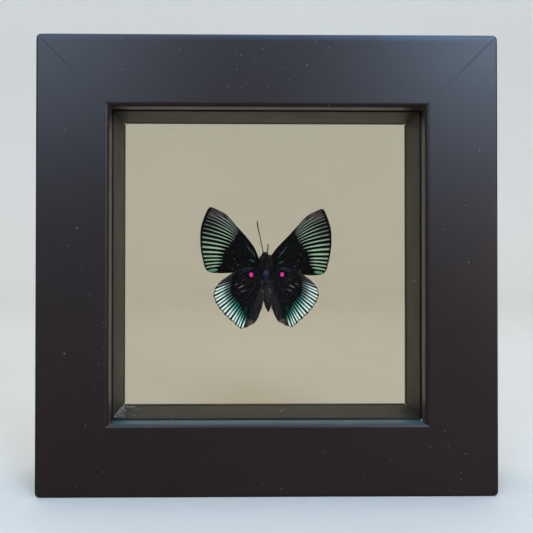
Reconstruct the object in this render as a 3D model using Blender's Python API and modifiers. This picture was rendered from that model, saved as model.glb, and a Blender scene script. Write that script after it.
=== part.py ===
"""A small butterfly under glass: a square box frame with a pane in front of the
specimen and a pane behind it, so that the butterfly seems to float.

Metres, +Z up, the glazed front facing -Y. The origin is at the middle of the
frame's underside. Every part has its own object, and pieces that touch keep
JOINT_GAP between their surfaces.
"""
import math

import bmesh
import bpy
from mathutils import Matrix, Vector

MM = 0.001

# ---- driving dimensions of the frame -------------------------------------------
FRAME_SIDE = 150.0 * MM       # outer width and height
FRAME_DEPTH = 30.0 * MM       # front face to back face
SIGHT_SIDE = 102.8 * MM       # clear opening between the lips
LIP_DEPTH = 5.0 * MM          # the front lip that holds the glazing in
PANE_THICKNESS = 2.0 * MM
SPACER_WIDTH = 3.6 * MM       # thickness of the strips that line the box
BEAD_WIDTH = 3.2 * MM         # the strips that hold the back pane
BEAD_RECESS = 0.3 * MM        # how far the beads lie below the back face
JOINT_GAP = 0.3 * MM          # clearance between neighbours
OUTER_ROUND = 0.5 * MM        # softened outer edges
INNER_ROUND = 0.8 * MM        # softened edge around the opening
PANE_ROUND = 0.2 * MM         # ground edge of the glass

HALF_SIDE = FRAME_SIDE / 2
HALF_SIGHT = SIGHT_SIDE / 2
FACE_Y = -FRAME_DEPTH / 2
BACK_Y = FRAME_DEPTH / 2
HALF_PANE = HALF_SIGHT + SPACER_WIDTH
HALF_REBATE = HALF_PANE + JOINT_GAP
LIP_Y = FACE_Y + LIP_DEPTH

# the layers behind the lip, from front to back
FRONT_PANE_Y = LIP_Y + JOINT_GAP
SPACER_Y = FRONT_PANE_Y + PANE_THICKNESS + JOINT_GAP
BACK_PANE_Y = 10.3 * MM
SPACER_END_Y = BACK_PANE_Y - JOINT_GAP
BEAD_Y = BACK_PANE_Y + PANE_THICKNESS + JOINT_GAP
BEAD_END_Y = BACK_Y - BEAD_RECESS

# ---- driving dimensions of the specimen ----------------------------------------
SPECIMEN = Vector((0.3 * MM, 0.0, 71.2 * MM))   # on the body's line, between the wings
FOREWING_Y = 5.70 * MM
HINDWING_Y = 5.10 * MM        # the hindwings lie over the forewings
WING_THICKNESS = 0.25 * MM
BODY_Y = 6.6 * MM

# Wing outlines in millimetres from SPECIMEN: outwards, then towards the head. The
# outline runs from the root along the hind edge, round the tip and back. A True
# marks a corner.
FOREWING_OUTLINE = [
    (2.4, 2.6, True), (7.0, 1.1, False), (13.1, 0.3, False), (17.2, 0.35, False),
    (20.2, 0.9, False), (22.1, 3.4, False), (23.1, 8.0, False), (23.35, 13.0, False),
    (22.8, 18.0, False), (21.6, 21.9, False), (20.0, 23.9, False), (17.6, 23.4, False),
    (15.4, 22.1, False), (12.9, 19.5, False), (9.6, 15.3, False), (6.1, 11.0, False),
    (2.9, 6.0, True),
]
HINDWING_OUTLINE = [
    (2.6, -1.6, True), (2.1, -4.6, False), (1.9, -7.5, False), (1.9, -10.4, False),
    (2.6, -13.9, False), (4.0, -16.7, False), (6.2, -18.4, False), (9.3, -19.1, True),
    (12.5, -16.2, False), (15.5, -13.5, False), (17.6, -10.6, False), (18.55, -7.3, False),
    (17.6, -4.0, False), (15.0, -1.2, False), (12.0, 0.6, False), (8.8, 2.1, False),
    (5.8, 2.4, False), (3.5, 0.9, True),
]
# each wing's turn about SPECIMEN, in degrees: positive lifts the tip
FOREWING_LIFT = {"left": 0.0, "right": -0.8}
HINDWING_LIFT = {"left": 0.0, "right": 1.2}

ANTENNA_WIDTH = 0.26 * MM
ANTENNA_ROUTES = {
    # millimetres from SPECIMEN: right, back, towards the head
    "left": [(-1.0, 5.6, 8.7), (-1.5, 5.0, 11.0), (-2.2, 4.7, 14.2), (-2.9, 4.7, 17.0),
             (-3.25, 4.8, 18.9)],
    "right": [(0.55, 5.6, 8.7), (0.62, 5.2, 9.7), (0.66, 5.0, 10.9)],
}
LEG_WIDTH = 0.28 * MM
LEG_ROUTES = {
    # millimetres from SPECIMEN: outwards, back, towards the head
    "front": [(0.9, 9.15, 4.4), (1.3, 9.35, 5.2), (0.9, 9.5, 6.2)],
    "middle": [(1.55, 9.15, 2.2), (1.9, 9.3, 3.3), (2.05, 9.5, 1.4), (1.9, 9.6, -0.2)],
    "hind": [(0.9, 9.15, 0.7), (1.4, 9.35, -1.4), (1.1, 9.5, -4.2), (1.35, 9.6, -7.0)],
}

# ---- colours --------------------------------------------------------------------
BLACK_LACQUER = (0.018, 0.016, 0.017, 1.0)
SPACER_BLACK = (0.035, 0.031, 0.028, 1.0)
CLEAR_GLASS = (0.86, 0.93, 0.89, 1.0)
WING_BLACK = (0.012, 0.012, 0.014, 1.0)
WING_GREEN = (0.20, 0.33, 0.26, 1.0)
BODY_BLACK = (0.010, 0.010, 0.013, 1.0)
HORN_BROWN = (0.07, 0.055, 0.04, 1.0)
CLEAR_GLUE = (0.75, 0.72, 0.62, 1.0)


def empty_scene():
    for old in list(bpy.data.objects):
        bpy.data.objects.remove(old)


def new_collection(name):
    made = bpy.data.collections.new(name)
    bpy.context.scene.collection.children.link(made)
    return made


def material(name, colour, roughness, metallic=0.0, transmission=0.0):
    made = bpy.data.materials.new(name)
    made.use_nodes = True
    shader = made.node_tree.nodes["Principled BSDF"]
    shader.inputs["Base Color"].default_value = colour
    shader.inputs["Roughness"].default_value = roughness
    shader.inputs["Metallic"].default_value = metallic
    shader.inputs["Transmission Weight"].default_value = transmission
    made.diffuse_color = colour
    return made


def add_object(name, data, parts):
    made = bpy.data.objects.new(name, data)
    parts.objects.link(made)
    return made


def mesh_from_curve(curve_object):
    """The curve's evaluated mesh with its caps welded; the curve is removed."""
    bpy.context.view_layer.update()
    depsgraph = bpy.context.evaluated_depsgraph_get()
    mesh = bpy.data.meshes.new_from_object(curve_object.evaluated_get(depsgraph))
    bpy.data.objects.remove(curve_object)
    shape = bmesh.new()
    shape.from_mesh(mesh)
    bmesh.ops.remove_doubles(shape, verts=shape.verts, dist=1e-7)
    shape.to_mesh(mesh)
    shape.free()
    return mesh


# ---- the frame --------------------------------------------------------------------
def rounded_section(corners, steps=4):
    """The outline through corners (across, depth, radius), each rounded by an arc."""
    points = []
    count = len(corners)
    for index, (across, depth, radius) in enumerate(corners):
        here = Vector((across, depth))
        before = (Vector(corners[index - 1][:2]) - here).normalized()
        after = (Vector(corners[(index + 1) % count][:2]) - here).normalized()
        if radius == 0:
            points.append(here)
            continue
        centre = here + (before + after) * radius
        for step in range(steps + 1):
            angle = math.pi / 2 * step / steps
            points.append(centre - after * radius * math.cos(angle) - before * radius * math.sin(angle))
    return points


def mitred_bar(name, corners):
    """A straight bar of the given section along X, its two ends cut at 45 degrees.

    across is the distance below the frame's middle. An end that slides along X to
    that same distance lies on the frame's diagonal, less half the joint's gap.
    """
    curve = bpy.data.curves.new(name, "CURVE")
    curve.dimensions = "2D"
    curve.fill_mode = "BOTH"
    curve.extrude = HALF_SIDE
    section = rounded_section(corners)
    spline = curve.splines.new("POLY")
    spline.points.add(len(section) - 1)
    spline.points.foreach_set("co", [value for p in section for value in (p.x, p.y, 0.0, 1.0)])
    spline.use_cyclic_u = True
    bar = bpy.data.objects.new(name, curve)
    bpy.context.scene.collection.objects.link(bar)
    mesh = mesh_from_curve(bar)
    # section plane to the frame's axes: across runs down, depth runs back
    mesh.transform(Matrix(((0, 0, 1, 0), (0, 1, 0, 0), (-1, 0, 0, 0), (0, 0, 0, 1))))
    half_gap = JOINT_GAP / 2 * math.sqrt(2)
    for vertex in mesh.vertices:
        vertex.co.x = math.copysign(-vertex.co.z - half_gap, vertex.co.x)
    mesh.update()
    return mesh


def four_sided(stem, mesh, finish, parts, middle):
    """Four copies of a bar around the frame: bottom, right, top and left."""
    mesh.materials.append(finish)
    for quarter, side in enumerate(("bottom", "right", "top", "left")):
        bar = add_object(f"{stem}_{side}", mesh, parts)
        bar.parent = middle
        bar.rotation_euler = (0.0, -quarter * math.pi / 2, 0.0)


def rails(parts, middle):
    section = [
        (HALF_SIDE, FACE_Y, OUTER_ROUND), (HALF_SIGHT, FACE_Y, INNER_ROUND),
        (HALF_SIGHT, LIP_Y, 0), (HALF_REBATE, LIP_Y, 0),
        (HALF_REBATE, BACK_Y, 0), (HALF_SIDE, BACK_Y, OUTER_ROUND),
    ]
    lacquer = material("black_lacquer", BLACK_LACQUER, 0.4)
    four_sided("rail", mitred_bar("rail_section", section), lacquer, parts, middle)


def spacers(parts, middle):
    section = [
        (HALF_PANE, SPACER_Y, 0), (HALF_SIGHT, SPACER_Y, 0),
        (HALF_SIGHT, SPACER_END_Y, 0), (HALF_PANE, SPACER_END_Y, 0),
    ]
    finish = material("spacer_black", SPACER_BLACK, 0.6)
    four_sided("spacer", mitred_bar("spacer_section", section), finish, parts, middle)


def back_beads(parts, middle):
    inner = HALF_PANE - BEAD_WIDTH
    section = [
        (HALF_PANE, BEAD_Y, 0), (inner, BEAD_Y, 0),
        (inner, BEAD_END_Y, 0), (HALF_PANE, BEAD_END_Y, 0),
    ]
    finish = material("bead_black", SPACER_BLACK, 0.6)
    four_sided("back_bead", mitred_bar("bead_section", section), finish, parts, middle)


def pane(name, front_y, glass, parts, middle):
    bpy.ops.mesh.primitive_cube_add(size=1)
    made = bpy.context.object
    made.name = name
    made.data.transform(Matrix.Diagonal((2 * HALF_PANE, PANE_THICKNESS, 2 * HALF_PANE, 1)))
    made.location = (0.0, front_y + PANE_THICKNESS / 2, 0.0)
    made.parent = middle
    made.data.materials.append(glass)
    edge = made.modifiers.new("ground_edge", "BEVEL")
    edge.width = PANE_ROUND
    edge.segments = 1
    for home in list(made.users_collection):
        home.objects.unlink(made)
    parts.objects.link(made)


def panes(parts, middle):
    glass = material("clear_glass", CLEAR_GLASS, 0.02, transmission=1.0)
    pane("front_glass", FRONT_PANE_Y, glass, parts, middle)
    pane("back_glass", BACK_PANE_Y, glass, parts, middle)


# ---- the butterfly ------------------------------------------------------------------
def wing(name, outline, side, lift, centre_y, finish, parts):
    """A thin plate inside a smooth outline, mirrored for the left side."""
    outward = 1 if side == "right" else -1
    curve = bpy.data.curves.new(name, "CURVE")
    curve.dimensions = "2D"
    curve.fill_mode = "BOTH"
    curve.extrude = WING_THICKNESS / 2
    curve.resolution_u = 6
    spline = curve.splines.new("BEZIER")
    spline.bezier_points.add(len(outline) - 1)
    for point, (out, up, corner) in zip(spline.bezier_points, outline):
        point.co = (outward * out * MM, up * MM, 0.0)
        kind = "VECTOR" if corner else "AUTO"
        point.handle_left_type = kind
        point.handle_right_type = kind
    spline.use_cyclic_u = True
    plate = bpy.data.objects.new(name, curve)
    bpy.context.scene.collection.objects.link(plate)
    mesh = mesh_from_curve(plate)
    mesh.materials.append(finish)
    made = add_object(name, mesh, parts)
    made.location = (SPECIMEN.x, centre_y, SPECIMEN.z)
    made.rotation_euler = (math.pi / 2, -outward * math.radians(lift), 0.0)


def wings(parts):
    green = material("forewing_scales", WING_GREEN, 0.7)
    black = material("hindwing_scales", WING_BLACK, 0.7)
    for side in ("left", "right"):
        wing(f"forewing_{side}", FOREWING_OUTLINE, side, FOREWING_LIFT[side], FOREWING_Y, green, parts)
        wing(f"hindwing_{side}", HINDWING_OUTLINE, side, HINDWING_LIFT[side], HINDWING_Y, black, parts)


def ellipsoid(name, centre, half_size, segments, rings, finish, parts):
    bpy.ops.mesh.primitive_uv_sphere_add(segments=segments, ring_count=rings, radius=1.0)
    made = bpy.context.object
    made.name = name
    made.data.transform(Matrix.Diagonal((*half_size, 1)))
    made.location = centre
    made.data.materials.append(finish)
    made.data.shade_smooth()
    for home in list(made.users_collection):
        home.objects.unlink(made)
    parts.objects.link(made)
    return made


def head(finish, parts):
    """The head capsule with its two bulging eyes, in one piece."""
    centre = SPECIMEN + Vector((-0.2, 0.0, 7.15)) * MM
    centre.y = BODY_Y - 0.3 * MM
    capsule = ellipsoid("head", centre, (0.95 * MM, 1.0 * MM, 0.85 * MM), 20, 12, finish, parts)
    for side in (-1, 1):
        place = centre + Vector((side * 0.7, -0.1, 0.1)) * MM
        eye = ellipsoid("eye_bulge", place, (0.55 * MM, 0.65 * MM, 0.62 * MM), 16, 10, finish, parts)
        eye.hide_render = True
        eye.display_type = "WIRE"
        parts.objects.unlink(eye)
        bpy.data.collections["cutters"].objects.link(eye)
        join = capsule.modifiers.new("eye", "BOOLEAN")
        join.operation = "UNION"
        join.object = eye


def thorax(finish, parts):
    centre = SPECIMEN + Vector((-0.15, 0.0, 1.7)) * MM
    centre.y = BODY_Y
    ellipsoid("thorax", centre, (2.0 * MM, 2.1 * MM, 4.2 * MM), 24, 16, finish, parts)


def abdomen(finish, parts):
    """A turned body: it swells from the waist, runs nearly straight and closes in a cone."""
    length = 10.4 * MM
    widest = 1.55 * MM
    waist = 0.62          # of the widest radius, at the front end
    swell_end = 0.45      # how far along the full width is reached
    steps = 14
    mesh = bpy.data.meshes.new("abdomen")
    outline = bmesh.new()
    chain = [outline.verts.new((0.0, 0.0, 0.0))]
    for step in range(steps):
        along = step / steps
        swell = math.sin(min(along / swell_end, 1.0) * math.pi / 2)
        radius = widest * (waist + (1 - waist) * swell) * (1 - along ** 7) ** 0.8
        chain.append(outline.verts.new((radius, 0.0, -along * length)))
    chain.append(outline.verts.new((0.0, 0.0, -length)))
    for above, below in zip(chain, chain[1:]):
        outline.edges.new((above, below))
    outline.to_mesh(mesh)
    outline.free()
    mesh.materials.append(finish)
    made = add_object("abdomen", mesh, parts)
    turn = made.modifiers.new("turned", "SCREW")
    turn.steps = 20
    turn.render_steps = 20
    turn.use_merge_vertices = True
    turn.merge_threshold = 1e-6
    turn.use_smooth_shade = True
    made.location = SPECIMEN + Vector((0.0, 0.0, -2.95)) * MM
    made.location.y = BODY_Y - 0.2 * MM
    made.rotation_euler = (math.radians(-2.0), math.radians(-3.2), 0.0)


def thin_tube(name, route, width, finish, parts, thick_tip=1.0):
    """A bevelled curve through the route's points; the last point may be thicker."""
    curve = bpy.data.curves.new(name, "CURVE")
    curve.dimensions = "3D"
    curve.bevel_depth = width / 2
    curve.bevel_resolution = 1
    curve.resolution_u = 4
    curve.use_fill_caps = True
    spline = curve.splines.new("BEZIER")
    spline.bezier_points.add(len(route) - 1)
    for point, place in zip(spline.bezier_points, route):
        point.co = place
        point.handle_left_type = "AUTO"
        point.handle_right_type = "AUTO"
    spline.bezier_points[-1].radius = thick_tip
    tube = bpy.data.objects.new(name, curve)
    bpy.context.scene.collection.objects.link(tube)
    mesh = mesh_from_curve(tube)
    mesh.materials.append(finish)
    mesh.shade_smooth()
    add_object(name, mesh, parts)


def antennae(finish, parts):
    """The left feeler is whole and clubbed; the right one is a broken stub."""
    for side, route in ANTENNA_ROUTES.items():
        places = [Vector((SPECIMEN.x + x * MM, y * MM, SPECIMEN.z + z * MM)) for x, y, z in route]
        club = 1.6 if side == "left" else 1.0
        thin_tube(f"antenna_{side}", places, ANTENNA_WIDTH, finish, parts, club)


def legs(finish, parts):
    """Three pairs folded flat under the thorax."""
    for pair, route in LEG_ROUTES.items():
        for side, sign in (("left", -1), ("right", 1)):
            places = [
                Vector((SPECIMEN.x + sign * out * MM, y * MM, SPECIMEN.z + z * MM))
                for out, y, z in route
            ]
            thin_tube(f"leg_{pair}_{side}", places, LEG_WIDTH, finish, parts)


def glue_dab(parts):
    """A clear dome of glue between the thorax and the back pane."""
    finish = material("clear_glue", CLEAR_GLUE, 0.2, transmission=0.9)
    dome_top = BODY_Y + 2.1 * MM + JOINT_GAP
    dome_foot = BACK_PANE_Y - JOINT_GAP
    bpy.ops.mesh.primitive_cone_add(
        vertices=24, radius1=1.05 * MM, radius2=0.75 * MM, depth=dome_foot - dome_top
    )
    made = bpy.context.object
    made.name = "glue_dab"
    made.rotation_euler = (math.pi / 2, 0.0, 0.0)
    made.location = SPECIMEN + Vector((-0.15, 0.0, 2.6)) * MM
    made.location.y = (dome_top + dome_foot) / 2
    made.data.materials.append(finish)
    for home in list(made.users_collection):
        home.objects.unlink(made)
    parts.objects.link(made)


def main():
    empty_scene()
    parts = new_collection("framed_butterfly_specimen")
    new_collection("cutters")

    middle = bpy.data.objects.new("frame_middle", None)
    middle.location = (0.0, 0.0, HALF_SIDE)
    parts.objects.link(middle)
    rails(parts, middle)
    spacers(parts, middle)
    back_beads(parts, middle)
    panes(parts, middle)

    chitin = material("body_black", BODY_BLACK, 0.65)
    horn = material("feeler_brown", HORN_BROWN, 0.5)
    wings(parts)
    head(chitin, parts)
    thorax(chitin, parts)
    abdomen(chitin, parts)
    antennae(horn, parts)
    legs(horn, parts)
    glue_dab(parts)


main()
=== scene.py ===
"""The looks of a small butterfly that floats between two panes in a black box frame.

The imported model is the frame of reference: metres, +Z up, the glazed front facing -Y
and the origin in the middle of the frame's underside. Lengths in the tables of the
specimen are millimetres, outwards and towards the head from SPECIMEN, a point on the
body's line between the wings.
"""
import math

import bmesh
import bpy
import numpy as np
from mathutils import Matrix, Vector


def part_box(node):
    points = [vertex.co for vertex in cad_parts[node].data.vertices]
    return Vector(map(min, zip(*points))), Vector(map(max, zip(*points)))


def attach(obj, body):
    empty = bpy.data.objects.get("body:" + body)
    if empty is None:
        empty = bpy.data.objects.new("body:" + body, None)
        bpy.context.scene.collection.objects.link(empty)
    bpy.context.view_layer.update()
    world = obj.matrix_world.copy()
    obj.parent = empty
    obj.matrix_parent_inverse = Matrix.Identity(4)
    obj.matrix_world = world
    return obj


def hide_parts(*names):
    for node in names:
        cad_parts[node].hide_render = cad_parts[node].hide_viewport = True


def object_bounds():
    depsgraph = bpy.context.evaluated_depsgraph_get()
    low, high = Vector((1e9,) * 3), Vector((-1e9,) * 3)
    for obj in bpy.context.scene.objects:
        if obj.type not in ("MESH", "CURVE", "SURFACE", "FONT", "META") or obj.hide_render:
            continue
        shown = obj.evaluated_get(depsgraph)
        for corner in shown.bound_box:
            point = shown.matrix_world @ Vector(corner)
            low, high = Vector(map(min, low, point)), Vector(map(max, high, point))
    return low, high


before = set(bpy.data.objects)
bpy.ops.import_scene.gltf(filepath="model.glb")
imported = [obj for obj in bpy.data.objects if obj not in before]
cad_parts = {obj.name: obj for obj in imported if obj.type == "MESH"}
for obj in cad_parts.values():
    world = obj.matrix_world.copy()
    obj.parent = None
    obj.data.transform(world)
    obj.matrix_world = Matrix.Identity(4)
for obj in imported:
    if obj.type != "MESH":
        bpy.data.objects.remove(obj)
CAD_LOW, CAD_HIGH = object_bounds()

MM = 0.001
rng = np.random.default_rng(20)

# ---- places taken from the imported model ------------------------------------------
HALF_SIDE = (CAD_HIGH.x - CAD_LOW.x) / 2
MIDDLE_Z = (CAD_HIGH.z + CAD_LOW.z) / 2
FACE_Y = CAD_LOW.y
BACK_Y = CAD_HIGH.y
SPACER_LOW, SPACER_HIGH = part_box("spacer_bottom")
BEAD_LOW, BEAD_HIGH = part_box("back_bead_bottom")
PANE_LOW, PANE_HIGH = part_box("front_glass")
HALF_SIGHT = MIDDLE_Z - SPACER_HIGH.z
HALF_PANE = PANE_HIGH.x
REBATE_GAP = 0.3 * MM
SPECIMEN = np.array((0.3, 0.0, 71.2)) * MM
FOREWING_Y = (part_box("forewing_left")[0].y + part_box("forewing_left")[1].y) / 2
HINDWING_Y = (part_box("hindwing_left")[0].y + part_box("hindwing_left")[1].y) / 2
FOREWING_BOW = 0.30           # millimetres that a wing's margin bows back
HINDWING_BOW = 0.12


# ---- shader arithmetic --------------------------------------------------------------
def tone(red, green, blue):
    """A display colour, 0 to 255, as the linear colour that a socket takes."""
    parts = np.array((red, green, blue)) / 255
    linear = np.where(parts < 0.04045, parts / 12.92, ((parts + 0.055) / 1.055) ** 2.4)
    return (*linear.tolist(), 1.0)


class Value:
    """An output socket that Python arithmetic works on: each operator adds a Math node."""

    def __init__(self, paint, socket):
        self.paint = paint
        self.socket = socket

    def math(self, operation, *others):
        inputs = dict(enumerate((self, *others)))
        return self.paint.node("ShaderNodeMath", {"operation": operation}, inputs)

    def other(self, name):
        """Another output of the same node."""
        return Value(self.paint, self.socket.node.outputs[name])

    def __add__(self, other):
        return self.math("ADD", other)

    def __sub__(self, other):
        return self.math("SUBTRACT", other)

    def __mul__(self, other):
        return self.math("MULTIPLY", other)

    def __truediv__(self, other):
        return self.math("DIVIDE", other)

    def __pow__(self, other):
        return self.math("POWER", other)

    def __abs__(self):
        return self.math("ABSOLUTE")

    def __rsub__(self, other):
        return self.paint.node("ShaderNodeMath", {"operation": "SUBTRACT"}, {0: other, 1: self})

    __radd__ = __add__
    __rmul__ = __mul__


class Paint:
    """A material under construction: its nodes end in one Principled shader."""

    def __init__(self, name):
        self.material = bpy.data.materials.new(name)
        self.material.use_nodes = True
        self.tree = self.material.node_tree
        self.shader = self.tree.nodes["Principled BSDF"]

    def join(self, socket, value):
        if isinstance(value, Value):
            self.tree.links.new(value.socket, socket)
        else:
            socket.default_value = value

    def node(self, kind, settings=None, inputs=None, output=0):
        """A node of this kind: settings first, then values or links for its sockets."""
        made = self.tree.nodes.new(kind)
        for name, value in (settings or {}).items():
            if name == "stops":
                set_stops(made.color_ramp, value)
            else:
                setattr(made, name, value)
        for name, value in (inputs or {}).items():
            self.join(made.inputs[name], value)
        return Value(self, made.outputs[output])

    def place(self):
        """Object coordinates, in metres in the model's frame."""
        return self.node("ShaderNodeTexCoord", output="Object")

    def split(self, vector):
        return self.node("ShaderNodeSeparateXYZ", {}, {0: vector})

    def uv(self, name):
        return self.node("ShaderNodeUVMap", {"uv_map": name})

    def stretch(self, vector, factors):
        return self.node("ShaderNodeVectorMath", {"operation": "MULTIPLY"}, {0: vector, 1: factors})

    def vector(self, x, y, z=0.0):
        return self.node("ShaderNodeCombineXYZ", {}, {0: x, 1: y, 2: z})

    def noise(self, vector, scale, detail=2.0, roughness=0.5):
        inputs = {"Vector": vector, "Scale": scale, "Detail": detail, "Roughness": roughness}
        return self.node("ShaderNodeTexNoise", {}, inputs)

    def cells(self, vector, scale, output="Distance"):
        inputs = {"Vector": vector, "Scale": scale}
        return self.node("ShaderNodeTexVoronoi", {}, inputs, output)

    def chance(self, value):
        """A number from 0 to 1 that is drawn anew for each whole value."""
        return self.node("ShaderNodeTexWhiteNoise", {"noise_dimensions": "1D"}, {"W": value})

    def rise(self, value, start, end):
        """0 at start and 1 at end with a smooth change between, whichever is the larger."""
        inputs = {"Value": value, "From Min": start, "From Max": end}
        return self.node("ShaderNodeMapRange", {"interpolation_type": "SMOOTHSTEP"}, inputs)

    def specks(self, vector, scale, sizes, chosen):
        """1 in the middle of some cells.

        sizes are the distances where a speck ends and where it is full, and chosen are
        the bounds of the cell's own random number above which it has a speck.
        """
        spot = self.rise(self.cells(vector, scale), *sizes)
        return spot * self.rise(self.split(self.cells(vector, scale, "Color")), *chosen)

    def mix(self, share, below, above):
        """Colour below covered by colour above, by share."""
        return self.node("ShaderNodeMix", {"data_type": "RGBA"}, {0: share, 6: below, 7: above}, 2)

    def covered(self, colour, *layers):
        """The colour under its layers, each a share and a colour, the last on top."""
        for share, above in layers:
            colour = self.mix(share, colour, above)
        return colour

    def ramp(self, value, stops):
        return self.node("ShaderNodeValToRGB", {"stops": stops}, {"Fac": value})

    def bump(self, height, distance, strength=1.0):
        """A normal from a height of 0 to 1 that stands for distance in metres."""
        inputs = {"Height": height, "Distance": distance, "Strength": strength}
        return self.node("ShaderNodeBump", {}, inputs)

    def finish(self, **sockets):
        """Sets or links the shader's sockets, named with underscores for spaces."""
        for name, value in sockets.items():
            self.join(self.shader.inputs[name.replace("_", " ")], value)
        return self.material


def set_stops(ramp, stops):
    while len(ramp.elements) < len(stops):
        ramp.elements.new(1.0)
    for element, (position, colour) in zip(ramp.elements, stops):
        element.position = position
        element.color = colour


# ---- meshes from arrays ---------------------------------------------------------------
def grid_faces(rows, columns, closed=False):
    """Quads between neighbours of a grid; closed joins the last column to the first."""
    row = np.arange(rows - 1)
    column = np.arange(columns if closed else columns - 1)
    row, column = (part.ravel() for part in np.meshgrid(row, column, indexing="ij"))
    after = (column + 1) % columns
    low = row * columns
    high = low + columns
    return np.stack([low + column, low + after, high + after, high + column], axis=1)


def closed_rings(rings):
    """Vertices and faces of a body made of rings, each end closed to its ring's middle."""
    count, sides = rings.shape[:2]
    vertices = np.vstack([rings.reshape(-1, 3), rings[[0, -1]].mean(axis=1)])
    side = np.arange(sides)
    after = (side + 1) % sides
    pole = np.full(sides, count * sides)
    last = (count - 1) * sides
    faces = grid_faces(count, sides, closed=True).tolist()
    faces += np.stack([after, side, pole], axis=1).tolist()
    faces += np.stack([side + last, after + last, pole + 1], axis=1).tolist()
    return vertices, faces


def joined(bodies):
    """Several (vertices, faces) in one."""
    starts = np.cumsum([0] + [len(vertices) for vertices, _ in bodies[:-1]])
    faces = [
        [index + start for index in face]
        for start, (_, body_faces) in zip(starts.tolist(), bodies)
        for face in body_faces
    ]
    return np.vstack([vertices for vertices, _ in bodies]), faces


def add_piece(name, body, finishes, replaced=(), sharp=180.0, maps=None, face_finish=None):
    """A mesh object of the model: outward faces, its maps and finishes, riding on root."""
    vertices, faces = body
    mesh = bpy.data.meshes.new(name)
    mesh.from_pydata(vertices, [], faces)
    shape = bmesh.new()
    shape.from_mesh(mesh)
    inside_out = shape.calc_volume(signed=True) < 0
    shape.free()
    corners = np.empty(len(mesh.loops), dtype=np.int32)
    mesh.loops.foreach_get("vertex_index", corners)
    for map_name, values in (maps or {}).items():
        layer = mesh.uv_layers.new(name=map_name)
        layer.data.foreach_set("uv", values[corners].astype(np.float32).ravel())
    for finish in finishes:
        mesh.materials.append(finish)
    if face_finish is not None:
        mesh.polygons.foreach_set("material_index", face_finish.astype(np.int32))
    mesh.shade_smooth()
    if inside_out:
        mesh.flip_normals()
    if sharp < 180.0:
        mesh.set_sharp_from_angle(angle=math.radians(sharp))
    piece = bpy.data.objects.new(name, mesh)
    bpy.context.scene.collection.objects.link(piece)
    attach(piece, "root")
    if replaced:
        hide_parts(*replaced)
    return piece


def smooth_path(knots, points, at):
    """A curve through the points at their knots.

    Between two knots it is a cubic. Its slope at a knot is the mean of the slopes on
    both sides, each weighted by the length of the other side.
    """
    knots = np.asarray(knots, float)
    points = np.asarray(points, float)
    steps = np.diff(knots)[:, None]
    slopes = np.diff(points, axis=0) / steps
    inner = (slopes[:-1] * steps[1:] + slopes[1:] * steps[:-1]) / (steps[:-1] + steps[1:])
    tangents = np.vstack([slopes[:1], inner, slopes[-1:]])
    index = np.clip(np.searchsorted(knots, at, side="right") - 1, 0, len(knots) - 2)
    span = steps[index]
    x = (at - knots[index])[:, None] / span
    start = (1 + 2 * x) * (1 - x) ** 2 * points[index] + x * (1 - x) ** 2 * span * tangents[index]
    end = x ** 2 * (3 - 2 * x) * points[index + 1] + x ** 2 * (x - 1) * span * tangents[index + 1]
    return start + end


def unit(vectors):
    return vectors / np.linalg.norm(vectors, axis=-1, keepdims=True)


def tube(path, radii, sides=10):
    """A round bar: at each point of the path a ring of the given radius, square to it."""
    path = np.asarray(path, float)
    forward = unit(np.gradient(path, axis=0))
    across = unit(np.cross(forward, (0.0, 1.0, 0.05)))
    over = np.cross(across, forward)
    angle = np.linspace(0, 2 * math.pi, sides, endpoint=False)
    ring = across[:, None] * np.cos(angle)[None, :, None]
    ring = ring + over[:, None] * np.sin(angle)[None, :, None]
    return closed_rings(path[:, None] + ring * np.asarray(radii)[:, None, None])


def hair(roots, leans, bends, lengths, widths, steps=3):
    """Three-sided hairs that taper to a tip.

    At a share l of its length a hair's middle line has reached
    root + length * (lean * l + bend * l squared), and its width is width * (1 - l).
    """
    share = np.linspace(0, 1, steps + 1)
    reach = leans[:, None] * share[:, None] + bends[:, None] * share[:, None] ** 2
    line = roots[:, None] + reach * lengths[:, None, None]
    side = unit(np.cross(leans, (0.3, 0.5, 0.8)))
    over = unit(np.cross(leans, side))
    angle = np.arange(3) * 2 * math.pi / 3
    ring = side[:, None] * np.cos(angle)[None, :, None] + over[:, None] * np.sin(angle)[None, :, None]
    spread = widths[:, None] / 2 * (1 - share[:-1])
    walls = line[:, :-1, None] + ring[:, None] * spread[:, :, None, None]
    count = len(roots)
    each = 3 * steps + 1
    vertices = np.concatenate([walls.reshape(count, -1, 3), line[:, -1:]], axis=1)
    last = 3 * (steps - 1)
    tips = [[last + a, last + (a + 1) % 3, last + 3] for a in range(3)]
    starts = (np.arange(count) * each)[:, None, None]
    quads = (grid_faces(steps, 3, closed=True)[None] + starts).reshape(-1, 4)
    ends = (np.array([[2, 1, 0], *tips])[None] + starts).reshape(-1, 3)
    return vertices.reshape(-1, 3), quads.tolist() + ends.tolist()


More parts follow.
